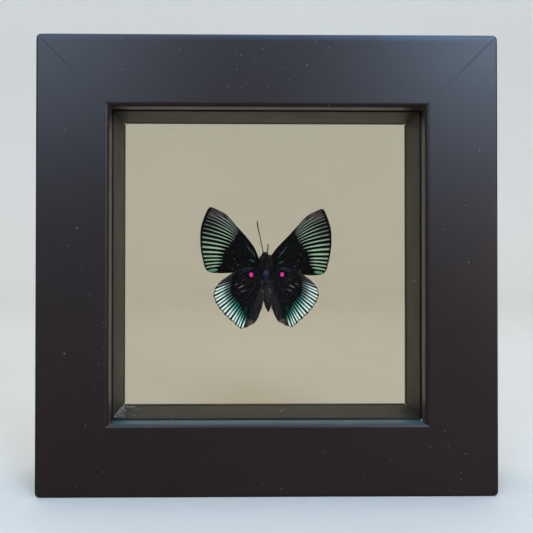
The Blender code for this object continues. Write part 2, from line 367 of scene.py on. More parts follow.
# ---- the camera, the lights and the stage -----------------------------------------------
SENSOR, LENS = 36.0, 41.5     # millimetres
CAMERA_PLACE = (-0.005755, -0.21370, 0.078137)
CAMERA_SHIFT = (0.0176, -0.0309)
CAMERA_LIFT, CAMERA_ROLL, CAMERA_TURN = 0.008483, -0.0006, -0.011865    # radians from level
SKY_BLUE = (0.50, 0.71, 1.0)
AIM = (0.0, 0.0, 0.08)
LIGHTS = {
    # name: place, aim, width and height in metres, watts, colour
    "top_panel": ((0.0, 0.25, 1.9), (0.0, 0.1, 0.0), (2.2, 1.7), 23.5, (1.0, 0.945, 0.87)),
    "sky_panel": ((0.0, -1.05, 1.45), AIM, (2.0, 0.7), 6.0, (0.52, 0.74, 1.0)),
    "window_left": ((-0.52, -1.0, 0.66), AIM, (0.42, 0.42), 5.5, SKY_BLUE),
    "window_right": ((0.60, -1.0, 0.66), AIM, (0.42, 0.42), 9.5, SKY_BLUE),
    "warm_card": ((0.80, -1.0, 0.10), AIM, (0.35, 0.35), 1.6, (1.0, 0.70, 0.50)),
}
AIR_COLOUR, AIR_STRENGTH = (1.0, 0.92, 0.84, 1.0), 0.02


def add_camera():
    lens = bpy.data.cameras.new("camera")
    lens.lens = LENS
    lens.sensor_width = SENSOR
    lens.shift_x, lens.shift_y = CAMERA_SHIFT
    lens.clip_start = 0.01
    camera = bpy.data.objects.new("camera", lens)
    camera.location = CAMERA_PLACE
    camera.rotation_euler = (math.pi / 2 + CAMERA_LIFT, CAMERA_ROLL, CAMERA_TURN)
    bpy.context.scene.collection.objects.link(camera)
    bpy.context.scene.camera = camera


def soft_light(name, place, aim, size, power, colour):
    """A rectangular panel of light at place that faces aim and that the camera doesn't see."""
    panel = bpy.data.lights.new(name, "AREA")
    panel.shape = "RECTANGLE"
    panel.size, panel.size_y = size
    panel.energy = power
    panel.color = colour
    lamp = bpy.data.objects.new(name, panel)
    lamp.location = place
    forward = unit(np.array(aim) - np.array(place))
    turn = math.atan2(forward[1], forward[0]) - math.pi / 2
    lamp.rotation_euler = (math.acos(-forward[2]), 0.0, turn)
    lamp.visible_camera = False
    bpy.context.scene.collection.objects.link(lamp)


def stage_material():
    paint = Paint("pale_stage")
    place = paint.place()
    mottle = paint.noise(place, 3.0, 3.0)
    fine = paint.noise(place, 240.0, 3.0)
    colour = paint.mix(mottle, (0.66, 0.655, 0.63, 1.0), (0.70, 0.695, 0.67, 1.0))
    return paint.finish(
        Base_Color=colour, Roughness=0.85, Normal=paint.bump(fine, 0.0002, 0.3),
        Specular_IOR_Level=0.2,
    )


def stage_half(name, start, finish):
    """Half a pale bowl: a flat floor, a quarter-round foot and an upright wall, turned about Z."""
    floor_radius, foot_radius, wall_top = 0.9, 0.6, 2.4
    bend = np.linspace(0, math.pi / 2, 13)
    floor = [0.0, 0.3, 0.6]
    foot = floor_radius + foot_radius * np.sin(bend)
    radius = np.concatenate([floor, foot, [floor_radius + foot_radius]])
    height = np.concatenate([[0.0] * len(floor), foot_radius * (1 - np.cos(bend)), [wall_top]])
    turn = np.linspace(start, start + math.pi, 49)
    points = np.stack([
        radius[:, None] * np.cos(turn), radius[:, None] * np.sin(turn),
        np.broadcast_to(height[:, None], (len(height), len(turn))),
    ], axis=-1)
    mesh = bpy.data.meshes.new(name)
    mesh.from_pydata(points.reshape(-1, 3), [], grid_faces(*points.shape[:2])[:, ::-1].tolist())
    mesh.materials.append(finish)
    mesh.shade_smooth()
    half = bpy.data.objects.new(name, mesh)
    bpy.context.scene.collection.objects.link(half)
    return half


def studio():
    finish = stage_material()
    stage_half("stage_back", 0.0, finish)
    front = stage_half("stage_front", math.pi, finish)
    front.visible_glossy = False      # the glass doesn't mirror the camera's side of the room
    world = bpy.context.scene.world or bpy.data.worlds.new("studio_air")
    bpy.context.scene.world = world
    world.use_nodes = True
    air = world.node_tree.nodes["Background"]
    air.inputs["Color"].default_value = AIR_COLOUR
    air.inputs["Strength"].default_value = AIR_STRENGTH
    for name, settings in LIGHTS.items():
        soft_light(name, *settings)
    bpy.context.scene.view_settings.view_transform = "Standard"


# ---- finishes of the frame ------------------------------------------------------------
def painted_sky_sheen(paint, place, spot):
    """Where a bluish reflection of the sky is painted: on the opening's sill and on the top arris, more to
    the right and near the face.
    """
    level = spot.other("Z") - MIDDLE_Z
    patch = paint.rise(paint.noise(place, 70.0, 3.0), 0.25, 0.55) * 0.4 + 0.6
    inside = paint.rise(abs(spot), HALF_SIGHT + 0.1 * MM, HALF_SIGHT - 1.2 * MM)
    sill = paint.rise(level, -HALF_SIGHT - 0.45 * MM, -HALF_SIGHT + 0.02 * MM)
    sill = sill * paint.rise(level, -HALF_SIGHT + 1.0 * MM, -HALF_SIGHT + 0.5 * MM)
    sideways = paint.rise(spot, -65.0 * MM, 60.0 * MM) * 0.65 + 0.35
    near_face = paint.rise(spot.other("Y"), FACE_Y + 2.2 * MM, FACE_Y + 0.4 * MM)
    arris = paint.rise(level, HALF_SIDE - 2.6 * MM, HALF_SIDE - 0.8 * MM) * sideways * near_face
    return sill * inside * patch, arris * patch


def lacquer_material():
    """Satin black lacquer: faint grain along the rail, orange peel, dust, worn arrises and a painted
    bluish sky reflection on the sill and top arris.
    """
    paint = Paint("black_lacquer")
    place = paint.place()
    run = paint.uv("run")
    spot = paint.split(place)
    grain = paint.noise(paint.stretch(run, (60.0, 1400.0, 1.0)), 1.0, 4.0, 0.6)
    peel = paint.noise(place, 1500.0, 2.0)
    cloud = paint.noise(place, 22.0, 3.0)
    specks = paint.specks(place, 260.0, (0.075, 0.045), (0.90, 0.92))
    fine_dust = paint.specks(place, 700.0, (0.20, 0.10), (0.86, 0.90))
    fine_dust = fine_dust * paint.rise(paint.noise(place, 40.0, 3.0), 0.40, 0.62)
    square = abs(spot).math("MAXIMUM", abs(spot.other("Z") - MIDDLE_Z))
    rub = paint.noise(place, 420.0, 3.0, 0.65)
    outer = paint.rise(square, HALF_SIDE - 0.55 * MM, HALF_SIDE - 0.15 * MM)
    front = paint.rise(spot.other("Y"), FACE_Y + 0.6 * MM, FACE_Y + 0.1 * MM)
    worn = outer * front * paint.rise(rub, 0.56, 0.72)
    colour = paint.mix(cloud, (0.0175, 0.0086, 0.0068, 1.0), (0.0245, 0.0130, 0.0106, 1.0))
    # painted reflection: sill and arris are masks of the bluish sky reflection painted into the lacquer
    sill, arris = painted_sky_sheen(paint, place, spot)
    colour = paint.covered(
        colour, (paint.rise(grain, 0.45, 0.75) * 0.4, (0.024, 0.0170, 0.0155, 1.0)),
        (worn * 0.6, (0.085, 0.075, 0.065, 1.0)),
        (specks * 0.5 + fine_dust * 0.30, (0.34, 0.33, 0.31, 1.0)),
        # painted sky reflection on the sill and on the top arris
        (sill * 0.9, (0.030, 0.086, 0.105, 1.0)), (arris * 0.9, (0.026, 0.054, 0.095, 1.0)),
    )
    roughness = 0.38 + (cloud - 0.5) * 0.08 + (grain - 0.5) * 0.03 + specks * 0.3
    height = peel * 0.45 + grain * 0.12 + specks * 1.2 + fine_dust * 0.5
    return paint.finish(
        Base_Color=colour, Roughness=roughness, Normal=paint.bump(height, 0.03 * MM, 0.55),
        Specular_IOR_Level=0.5,
    )


def spacer_material():
    """Matt black-brown paint on sawn strips, dusty and rubbed grey, with painted light that makes them
    lighter towards the back.
    """
    paint = Paint("spacer_black")
    place = paint.place()
    run = paint.uv("run")
    spot = paint.split(place)
    grain = paint.noise(paint.stretch(run, (90.0, 1100.0, 1.0)), 1.0, 5.0, 0.65)
    mottle = paint.noise(place, 130.0, 4.0, 0.6)
    pits = paint.noise(place, 1900.0, 2.0)
    dust = paint.specks(place, 1200.0, (0.22, 0.12), (0.955, 0.965))
    # painted light: the strips grow lighter and browner towards the back pane
    deep = paint.rise(spot.other("Y"), SPACER_LOW.y, SPACER_HIGH.y)
    colour = paint.mix(mottle, (0.014, 0.0115, 0.010, 1.0), (0.026, 0.021, 0.017, 1.0))
    colour = paint.covered(
        colour, (deep * 0.5, (0.036, 0.028, 0.021, 1.0)),
        (paint.rise(grain, 0.5, 0.8) * 0.5, (0.048, 0.040, 0.033, 1.0)),
        (dust * 0.5, (0.35, 0.34, 0.32, 1.0)),
    )
    height = grain * 0.5 + pits * 0.1
    return paint.finish(
        Base_Color=colour, Roughness=0.52 + (mottle - 0.5) * 0.2,
        Normal=paint.bump(height, 0.05 * MM, 0.6), Specular_IOR_Level=0.36,
    )


def glass_material():
    """Float glass with a warm tint and a little dust; the tint is painted shade, warmer and darker than
    float glass, for the frame's shadow on a wall behind.

    Each face mirrors 0.04 + 0.96 * (1 - cosine of the viewing angle)^5 of the light and
    lets the rest straight through.
    """
    paint = Paint("clear_glass")
    place = paint.place()
    smear = paint.noise(paint.stretch(place, (60.0, 60.0, 18.0)), 1.0, 4.0, 0.6)
    dust = paint.specks(place, 300.0, (0.055, 0.03), (0.93, 0.95))
    facing = paint.node("ShaderNodeLayerWeight", {}, {"Blend": 0.5}, "Facing")
    mirror = 0.04 + facing ** 5.0 * 0.96
    # painted shade: this warm tint darkens and warms all that is seen through the panes
    clear = paint.node("ShaderNodeBsdfTransparent", {}, {"Color": (0.942, 0.917, 0.858, 1.0)})
    paint.finish(
        Base_Color=paint.mix(dust, (1.0, 1.0, 1.0, 1.0), (0.45, 0.44, 0.42, 1.0)),
        Metallic=1.0 - dust, Roughness=0.01 + paint.rise(smear, 0.60, 0.80) * 0.05 + dust * 0.8,
    )
    coat = Value(paint, paint.shader.outputs["BSDF"])
    cover = mirror.math("MAXIMUM", dust * 0.6)
    whole = paint.node("ShaderNodeMixShader", {}, {0: cover, 1: clear, 2: coat})
    paint.join(paint.tree.nodes["Material Output"].inputs["Surface"], whole)
    return paint.material


def pin_material():
    paint = Paint("pin_steel")
    fleck = paint.noise(paint.place(), 5200.0, 3.0)
    colour = paint.mix(fleck, (0.30, 0.27, 0.23, 1.0), (0.50, 0.47, 0.42, 1.0))
    return paint.finish(
        Base_Color=colour, Metallic=1.0, Roughness=0.32 + fleck * 0.25,
        Normal=paint.bump(fleck, 0.01 * MM, 0.4),
    )


# ---- the frame's strips -------------------------------------------------------------------
def section_outline(corners, arc_steps=6, hold=0.07 * MM):
    """The closed outline through corners (across, depth, radius).

    A corner with a radius becomes an arc with a point held just beyond each of its
    ends, so that the flats beside it shade flat.
    """
    spots = np.array([corner[:2] for corner in corners])
    radii = np.array([corner[2] for corner in corners])
    before = unit(np.roll(spots, 1, axis=0) - spots)
    after = unit(np.roll(spots, -1, axis=0) - spots)
    angle = np.linspace(0, math.pi / 2, arc_steps + 1)[:, None]
    points = []
    for here, radius, back, ahead in zip(spots, radii, before, after):
        if radius == 0:
            points.append(here[None])
            continue
        centre = here + (back + ahead) * radius
        arc = centre - ahead * radius * np.cos(angle) - back * radius * np.sin(angle)
        points.append(np.vstack([here + back * (radius + hold), arc, here + ahead * (radius + hold)]))
    return np.vstack(points)


def inset(outline, depth):
    """The outline moved inwards by depth, along the mean of its neighbours' normals."""
    edge = unit(np.roll(outline, -1, axis=0) - outline)
    normal = np.stack([-edge[:, 1], edge[:, 0]], axis=1)
    area = np.sum(outline[:, 0] * np.roll(outline[:, 1], -1) - outline[:, 1] * np.roll(outline[:, 0], -1))
    mean = unit(normal + np.roll(normal, 1, axis=0))
    lean = np.sum(mean * normal, axis=1, keepdims=True)
    return outline + mean / np.maximum(lean, 0.5) * depth * math.copysign(1.0, area)


def rounded_corner(along, across, half, radius):
    """Places near a square's corner drawn onto a rounded one.

    Measured from the centre of the corner's arc, a place keeps its direction, and its
    distance becomes the larger of its two sides.
    """
    inner = half - radius
    run = np.maximum(np.abs(along) - inner, 0.0)
    rise = np.maximum(across - inner, 0.0)
    distance = np.maximum(np.hypot(run, rise), 1e-12)
    scale = np.maximum(run, rise) / distance
    along = np.where(run > 0, np.sign(along) * (inner + run * scale), along)
    return along, np.where(rise > 0, inner + rise * scale, across)


OPEN_THROUGHOUT = (0.0, 1.0 * MM)     # every strip lies further from the middle than this
LEAST_OPEN = 0.15             # the share of the gap that a closed joint keeps


def mitred_strip(outline, gap, grooves, corner, fade):
    """A section carried along X between two 45-degree cuts.

    A point at distance across from the frame's middle runs from -(across - gap) to
    +(across - gap). The last stretch at each end, as long as its groove, is drawn in by
    the same amount, which leaves a fine V at the mitre. corner is the radius that the
    outline's outermost corner has where two strips meet. fade holds the distances across
    between which the mitre opens, from a closed joint to the full gap and groove.
    """
    near_end = np.linspace(0.985, 0.9975, 6)     # close together, for the rounded corner
    between = np.linspace(-0.96, 0.96, 25)
    run = np.concatenate([[-1.0, -1.0], -near_end[::-1], between, near_end, [1.0, 1.0]])
    ends = np.where(run < 0, grooves[0], grooves[1])
    ends[[0, -1]] = 0.0
    profile = np.broadcast_to(outline, (len(run), *outline.shape)).copy()
    opening = np.clip((outline[:, 0] - fade[0]) / (fade[1] - fade[0]), 0.0, 1.0)
    profile[0] = inset(outline, grooves[0] * opening[:, None])
    profile[-1] = inset(outline, grooves[1] * opening[:, None])
    taken = (gap + ends[:, None]) * np.maximum(opening, LEAST_OPEN)
    along = run[:, None] * (outline[None, :, 0] - taken)
    run_along, across = along, profile[..., 0]
    if corner > 0:
        along, across = rounded_corner(along, across, outline[:, 0].max(), corner)
    points = np.stack([along, profile[..., 1], -across], axis=-1)
    rows, columns = points.shape[:2]
    faces = grid_faces(rows, columns, closed=True).tolist()
    faces.append(list(range(columns))[::-1])
    faces.append(list(range((rows - 1) * columns, rows * columns)))
    length = np.linalg.norm(np.roll(outline, -1, axis=0) - outline, axis=1)
    around = np.concatenate([[0.0], np.cumsum(length)[:-1]])
    run_map = np.stack([run_along, np.broadcast_to(around, along.shape)], axis=-1)
    return points.reshape(-1, 3), faces, run_map.reshape(-1, 2)


def four_strips(stem, node_stem, corners, finish, gap, grooves, corner=0.0,
                fade=OPEN_THROUGHOUT):
    """Four mitred strips round the frame, each a quarter turn on from the last.

    grooves are the depths of the V at the mitres: lower left, lower right, upper right
    and upper left.
    """
    outline = section_outline(corners)
    for quarter, side in enumerate(("bottom", "right", "top", "left")):
        ends = (grooves[quarter] * MM, grooves[(quarter + 1) % 4] * MM)
        points, faces, run_map = mitred_strip(outline, gap, ends, corner, fade)
        angle = -quarter * math.pi / 2
        x = points[:, 0] * math.cos(angle) + points[:, 2] * math.sin(angle)
        z = points[:, 2] * math.cos(angle) - points[:, 0] * math.sin(angle)
        points = np.stack([x, points[:, 1], z + MIDDLE_Z], axis=1)
        run_map = run_map + np.array((0.37 * quarter, 0.0))
        add_piece(
            f"{stem}_{side}", (points, faces), [finish], [f"{node_stem}_{side}"],
            sharp=40.0, maps={"run": run_map},
        )


def frame_strips():
    lip_y = PANE_LOW.y - REBATE_GAP
    half_rebate = HALF_PANE + REBATE_GAP
    rail = [
        (HALF_SIDE, FACE_Y, 0.8 * MM), (HALF_SIGHT + 14.0 * MM, FACE_Y, 0.0),
        (HALF_SIGHT + 8.0 * MM, FACE_Y, 0.0), (HALF_SIGHT, FACE_Y, 1.3 * MM),
        (HALF_SIGHT, lip_y, 0.1 * MM), (half_rebate, lip_y, 0.0),
        (half_rebate, BACK_Y, 0.25 * MM), (HALF_SIDE, BACK_Y, 0.5 * MM),
    ]
    four_strips(
        "frame_rail", "rail", rail, lacquer_material(), 0.012 * MM,
        (0.04, 0.02, 0.10, 0.07), 1.7 * MM, (HALF_SIGHT + 6.0 * MM, HALF_SIGHT + 14.0 * MM),
    )
    black = spacer_material()
    spacer = [
        (HALF_PANE, SPACER_LOW.y, 0.0), (HALF_SIGHT, SPACER_LOW.y, 0.15 * MM),
        (HALF_SIGHT, SPACER_HIGH.y, 0.15 * MM), (HALF_PANE, SPACER_HIGH.y, 0.0),
    ]
    four_strips("box_spacer", "spacer", spacer, black, 0.01 * MM, (0.05,) * 4)
    bead_inner = MIDDLE_Z - BEAD_HIGH.z
    bead = [
        (HALF_PANE, BEAD_LOW.y, 0.0), (bead_inner, BEAD_LOW.y, 0.1 * MM),
        (bead_inner, BEAD_HIGH.y, 0.5 * MM), (HALF_PANE, BEAD_HIGH.y, 0.1 * MM),
    ]
    four_strips("pane_bead", "back_bead", bead, black, 0.08 * MM, (0.08,) * 4)


def bead_pins():
    """Three small round pin heads in each bead, sunk a little below its face."""
    share = np.array([-0.72, 0.05, 0.78])
    radius = 0.42 * MM
    middle = HALF_PANE - 1.0 * MM
    heads = []
    for quarter in range(4):
        angle = quarter * math.pi / 2
        for part in share * middle:
            x = part * math.cos(angle) - middle * math.sin(angle)
            z = part * math.sin(angle) + middle * math.cos(angle)
            path = [(x, BEAD_HIGH.y - 0.25 * MM, MIDDLE_Z + z), (x, BEAD_HIGH.y + 0.02 * MM, MIDDLE_Z + z),
                    (x, BEAD_HIGH.y + 0.08 * MM, MIDDLE_Z + z)]
            heads.append(pin_head(np.array(path), radius))
    add_piece("bead_pins", joined(heads), [pin_material()], sharp=50.0)


def pin_head(path, radius):
    """A short upright disc along Y with a domed edge."""
    angle = np.linspace(0, 2 * math.pi, 16, endpoint=False)
    widths = np.array([0.8, 1.0, 0.7])[:, None] * radius
    rings = path[:, None] + np.stack([
        widths * np.cos(angle), np.zeros((3, 16)), widths * np.sin(angle)
    ], axis=-1)
    return closed_rings(rings)


def panes():
    glass = glass_material()
    for node in ("front_glass", "back_glass"):
        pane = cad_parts[node]
        for place in pane.material_slots:
            place.material = glass
        pane.visible_shadow = False   # light falls on the specimen as through clear glass


# ---- the wings ------------------------------------------------------------------------------
# A wing is a fan of lines from its root to its margin, numbered as its pale rays are:
# a ray runs along each whole number. The tables give, for some lines, where they reach
# the edge of the dark disc and where they end, outwards and towards the head.
DISC_SHARE = 0.6              # of a line's parameter, where it reaches the disc's edge
FOREWING = {
    "lines": (-2.0, 17.0),
    "root": ((1.0, 1.6), (2.3, 4.4)),
    "disc": [
        (-2, 15.6, 0.50), (-1, 17.4, 1.05), (0, 17.8, 2.05), (1, 17.3, 3.45), (2, 16.6, 4.55),
        (3, 16.3, 5.65), (4, 16.1, 6.75), (5, 15.4, 8.05), (6, 14.5, 9.30), (7, 13.4, 10.35),
        (8, 12.7, 11.4), (9, 11.8, 12.15), (10, 10.9, 12.6), (11, 10.3, 13.0), (12, 10.0, 13.5),
        (13, 9.80, 14.0), (14, 9.70, 14.5), (15, 9.80, 15.1), (16, 10.2, 16.1), (17, 10.9, 17.5),
    ],
    "margin": [
        (-2, 18.7, 0.60), (-1, 20.3, 0.93), (0, 21.3, 1.50), (1, 22.05, 2.50), (2, 22.45, 3.75),
        (3, 22.75, 5.10), (4, 23.05, 6.50), (5, 23.4, 8.10), (6, 23.62, 10.0), (7, 23.74, 11.78),
        (8, 23.76, 13.55), (9, 23.7, 15.25), (10, 23.53, 16.8), (11, 23.15, 18.3), (12, 22.7, 19.6),
        (13, 22.25, 20.85), (14, 21.78, 22.0), (15, 21.3, 22.95), (16, 20.6, 23.9), (17, 19.6, 24.12),
    ],
    "arch": ((-2, 6, 8, 10, 12, 14, 15, 17), (0.0, 0.05, 0.15, 0.42, 0.78, 0.85, 1.2, 1.6)),
    "hind_edge": [(1.0, 1.6), (5.4, 1.2), (10.2, 0.75), (15.6, 0.50), (17.2, 0.50), (18.7, 0.60)],
    "front_edge": [(2.3, 4.4), (4.3, 9.45), (7.6, 13.9), (10.9, 17.5), (14.9, 21.8), (19.6, 24.12)],
    "scallop": 0.0,
}
RIGHT_FOREWING = {
    **FOREWING,
    "root": ((1.0, 1.6), (1.2, 6.9)),
    "front_edge": [(1.2, 6.9), (3.8, 10.35), (7.4, 14.0), (10.9, 17.75), (14.9, 21.8), (19.6, 24.12)],
}
HINDWING = {
    "lines": (-4.0, 21.0),
    "root": ((1.0, 1.9), (0.8, -1.6)),
    "disc": [
        (-4, 9.6, 1.80), (-2, 11.9, -0.40), (0, 12.4, -2.20), (1, 12.6, -3.10), (2, 12.8, -4.00),
        (3, 12.9, -4.95), (4, 12.8, -5.85), (5, 12.5, -6.70), (6, 12.1, -7.55), (7, 11.6, -8.35),
        (8, 11.0, -9.10), (9, 10.35, -9.8), (10, 9.75, -10.55), (11, 9.25, -11.4), (12, 8.9, -12.3),
        (13, 8.6, -13.2), (14, 8.25, -14.2), (15, 7.55, -15.3), (17, 5.30, -14.2), (19, 3.2, -11.6),
        (21, 1.5, -8.8),
    ],
    "margin": [
        (-4, 15.2, -1.40), (-3, 16.0, -2.10), (-2, 16.7, -2.75), (-1, 17.3, -3.45), (0, 17.95, -4.20),
        (1, 18.55, -5.55), (2, 18.85, -6.90), (3, 18.7, -8.20), (4, 18.25, -9.30), (5, 17.7, -10.4),
        (6, 17.05, -11.4), (7, 16.3, -12.5), (8, 15.4, -13.55), (9, 14.45, -14.6), (10, 13.5, -15.5),
        (11, 12.45, -16.45), (12, 11.55, -17.15), (13, 10.65, -18.0), (14, 9.85, -18.8), (15, 8.8, -19.0),
        (16, 7.65, -18.75), (17, 6.35, -18.2), (18, 5.15, -17.6), (19, 4.05, -16.8), (20, 3.3, -15.6),
        (21, 2.7, -14.2),
    ],
    "arch": ((-4, 21), (0.0, 0.0)),
    "hind_edge": [(1.0, 1.9), (4.2, 2.45), (7.0, 2.50), (9.6, 1.80), (12.6, 0.42), (15.2, -1.40)],
    "front_edge": [(0.8, -1.6), (0.9, -3.9), (0.9, -6.4), (1.1, -8.9), (1.75, -11.6), (2.7, -14.2)],
    "scallop": 0.22,
}
# How each side's wings differ from the tables: stretched outwards and upwards, raised in
# millimetres and turned about SPECIMEN in degrees.
FITS = {
    "forewing_left": (1.0, 1.0, 0.0, 0.0), "forewing_right": (0.965, 1.01, -0.50, -1.0),
    "hindwing_left": (1.0, 1.0, 0.0, 0.0), "hindwing_right": (0.98, 0.975, 0.15, -0.5),
}
UV_LINES = 40.0               # a line's number over this, plus a fifth, is its map's u
UV_MM = 64.0                  # millimetres over this, plus a half, are the plan's u and v


def soft_ramp(share, bend, softness):
    """0 up to the bend and then a straight climb to 1, with a rounded corner between."""
    def climb(value):
        return (value - bend + np.sqrt((value - bend) ** 2 + softness ** 2)) / 2
    return (climb(share) - climb(0.0)) / (climb(1.0) - climb(0.0))


def wing_plan(shape, lines, shares):
    """Places on a wing in its own plane, for each line and each share of its length.

    A line runs straight from its root to the disc's edge, bends there and runs to the
    margin, arched to the side by its arch times 4 q (1 - q), q being its share of that
    stretch. The lines by the two long edges are then drawn to the edges' curves,
    the less the further they lie from them.
    """
    low, high = shape["lines"]
    part = ((lines - low) / (high - low))[:, None]
    root = np.array(shape["root"][0]) * (1 - part) + np.array(shape["root"][1]) * part
    disc_table = np.array(shape["disc"])
    margin_table = np.array(shape["margin"])
    disc = smooth_path(disc_table[:, 0], disc_table[:, 1:], lines)
    margin = smooth_path(margin_table[:, 0], margin_table[:, 1:], lines)
    point = np.abs(np.cos(math.pi * (lines - 0.5) / 2)) ** 6
    forward = unit(margin - disc)
    margin = margin + forward * (shape["scallop"] * (point - 0.3))[:, None]
    outer = soft_ramp(shares, DISC_SHARE, 0.12)[None, :, None]
    inner = (shares[None, :, None] - (1 - DISC_SHARE) * outer) / DISC_SHARE
    plan = root[:, None] + (disc - root)[:, None] * inner + (margin - disc)[:, None] * outer
    arch = np.interp(lines, *shape["arch"])[:, None, None] * 4 * outer * (1 - outer)
    plan = plan + arch * np.stack([-forward[:, 1], forward[:, 0]], axis=1)[:, None]
    knots = np.linspace(0, 1, 6)
    for edge, row, distance in (("hind_edge", 0, lines - low), ("front_edge", -1, high - lines)):
        wanted = smooth_path(knots, shape[edge], shares)
        pull = np.exp(-(distance / 1.6) ** 2)[:, None, None]
        plan = plan + pull * (wanted - plan[row])[None]
    return plan


def fitted(plan, node):
    """The plan as the wing of this node has it, seen from the front and in millimetres."""
    out_share, up_share, raised, turn = FITS[node]
    turn = math.radians(turn)
    out = plan[..., 0] * out_share
    up = plan[..., 1] * up_share + raised
    return np.stack([
        out * math.cos(turn) - up * math.sin(turn), out * math.sin(turn) + up * math.cos(turn),
    ], axis=-1)


def vein_ridges(lines, every):
    """1 on the veins, which run between the rays, and 0 half way between them."""
    return (0.5 + 0.5 * np.cos(2 * math.pi * (lines - 0.5) / every)) ** 3


def flutter(out, up):
    """Millimetres that a wing's margin stands back: a slow sine wave across the plan."""
    return 0.10 * np.sin(out * 0.42 + up * 0.23)


def both_faces(front):
    """A face's grid, followed in each row by the same places in reverse order."""
    return np.concatenate([front, front[:, ::-1]], axis=1)


def sheet_faces(rows, columns):
    """Faces of a closed sheet whose rows run out over the front and return over the back.

    The second result is 1 for the faces of the back and 0 for the others.
    """
    count = columns // 2
    skin = grid_faces(rows, columns, closed=True)
    inner = np.arange(count - 1)
    first = np.stack([inner + 1, inner, columns - 1 - inner, columns - 2 - inner], axis=1)
    last = first[:, ::-1] + (rows - 1) * columns
    faces = np.vstack([skin, first, last])
    back = np.zeros(len(faces), dtype=np.int32)
    back[:len(skin)] = (np.arange(len(skin)) % columns) >= count
    return faces.tolist(), back


def wing(node, shape, centre_y, bow, finishes, ridge_every):
    """A thin closed sheet on the wing's plan, its veins raised on both faces.

    Its middle surface bows back by bow times the share squared, with a slow wave over
    that, and its thickness falls from the root to the margin.
    """
    low, high = shape["lines"]
    lines = np.linspace(low, high, int((high - low) * 8) + 1)
    shares = np.linspace(0, 1, 84) ** 0.9
    plan = wing_plan(shape, lines, shares)
    out, up = np.moveaxis(fitted(plan, node), -1, 0)
    sign = 1 if node.endswith("right") else -1
    share = np.broadcast_to(shares, out.shape)
    ridge = vein_ridges(lines, ridge_every)[:, None] * np.clip((share - 0.12) * 4, 0, 1)
    middle = bow * share ** 2 + flutter(out, up) * share
    half = 0.075 - 0.05 * share + 0.035 * ridge
    faces_y = [centre_y / MM + middle - half, (centre_y / MM + middle + half)[:, ::-1]]
    points = np.stack([
        both_faces(out) * sign * MM + SPECIMEN[0], np.concatenate(faces_y, axis=1) * MM,
        both_faces(up) * MM + SPECIMEN[2],
    ], axis=-1)
    faces, back = sheet_faces(*points.shape[:2])
    line_map = np.broadcast_to(lines[:, None], out.shape) / UV_LINES + 0.2
    rays = np.stack([both_faces(line_map), both_faces(share)], axis=-1)
    plan_map = both_faces(plan / UV_MM + 0.5)
    return add_piece(
        f"scaled_{node}", (points.reshape(-1, 3), faces), finishes, [node],
        sharp=60.0, maps={"rays": rays.reshape(-1, 2), "plan": plan_map.reshape(-1, 2)},
        face_finish=back,
    )


class WingPaint(Paint):
    """The numbers that every wing finish starts from."""

    def __init__(self, name):
        super().__init__(name)
        rays = self.split(self.uv("rays"))
        plan = self.split(self.uv("plan"))
        self.line = (rays - 0.2) * UV_LINES
        self.share = rays.other("Y")
        self.out = (plan - 0.5) * UV_MM
        self.up = (plan.other("Y") - 0.5) * UV_MM
        self.flat = self.vector(self.out, self.up)
        self.ray = self.line.math("ROUND")
        self.off = abs(self.line - self.ray)
        self.luck = self.chance(self.ray + 31.0)
        self.streak = self.noise(self.vector(self.line * 5.0, self.share * 9.0), 1.0, 4.0, 0.65)
        oblong = self.stretch(self.flat, (1.0, 0.8, 1.0))
        self.scales = self.cells(oblong, 8.0)
        self.scale_tone = self.split(self.cells(oblong, 8.0, "Color"))

    def ragged(self, distance, depth):
        """The distance shifted to and fro by the streaks, for an uneven edge."""
        return distance + (self.streak - 0.5) * depth

    def mark(self, centre, half_size, turn=0.0, soft=0.35):
        """1 inside an ellipse on the wing's plan, fading out over soft of its size."""
        angle = math.radians(turn)
        out = self.out - centre[0]
        up = self.up - centre[1]
        along = (out * math.cos(angle) + up * math.sin(angle)) / half_size[0]
        across = (up * math.cos(angle) - out * math.sin(angle)) / half_size[1]
        return self.rise(along * along + across * across, 1.0 + soft, 1.0 - soft)

    def scaly(self, colour, gloss=0.05, unevenness=0.15):
        """The finish of one face: overlapping scales and the streaks that their rows make."""
        height = (1 - self.scales) * 0.6 + self.streak * 0.5 + self.scale_tone * 0.35
        return self.finish(
            Base_Color=colour, Roughness=0.66 + self.streak * unevenness,
            Normal=self.bump(height, 0.022 * MM, 0.35), Specular_IOR_Level=gloss,
        )


def forewing_rays(paint):
    """1 on the pale rays, which narrow towards the tip and are cut off at its corner."""
    line, share = paint.line, paint.share
    start = 0.575 + paint.luck * 0.03
    width = 0.200 + (paint.luck - 0.5) * 0.03 - paint.rise(line, 5.5, 9.0) * 0.050
    width = width - paint.rise(line, 9.0, 13.0) * 0.02 - paint.rise(share, 0.78, 0.98) * 0.03
    width = width * (0.45 + 0.55 * paint.rise(share, start, start + 0.14))
    edge = paint.ragged(paint.off, 0.13)
    rays = paint.rise(edge, width + 0.07, width - 0.07) * paint.rise(share, start, start + 0.03)
    rays = rays * paint.rise(share, 0.985, 0.955) * paint.rise(line, 0.45, 0.60)
    for lines, shares in (((14.5, 14.6), (0.82, 0.90)), ((15.4, 15.6), (0.74, 0.80))):
        rays = rays * (1 - paint.rise(line, *lines) * paint.rise(share, *shares))
    rays = rays * paint.rise(line, 16.5, 16.3)
    mottle = paint.rise(paint.streak, 0.62, 0.42) * paint.rise(share, 0.74, 0.90)
    mottle = mottle * paint.rise(line, 7.5, 11.0)
    return rays * (1 - mottle * 0.55)


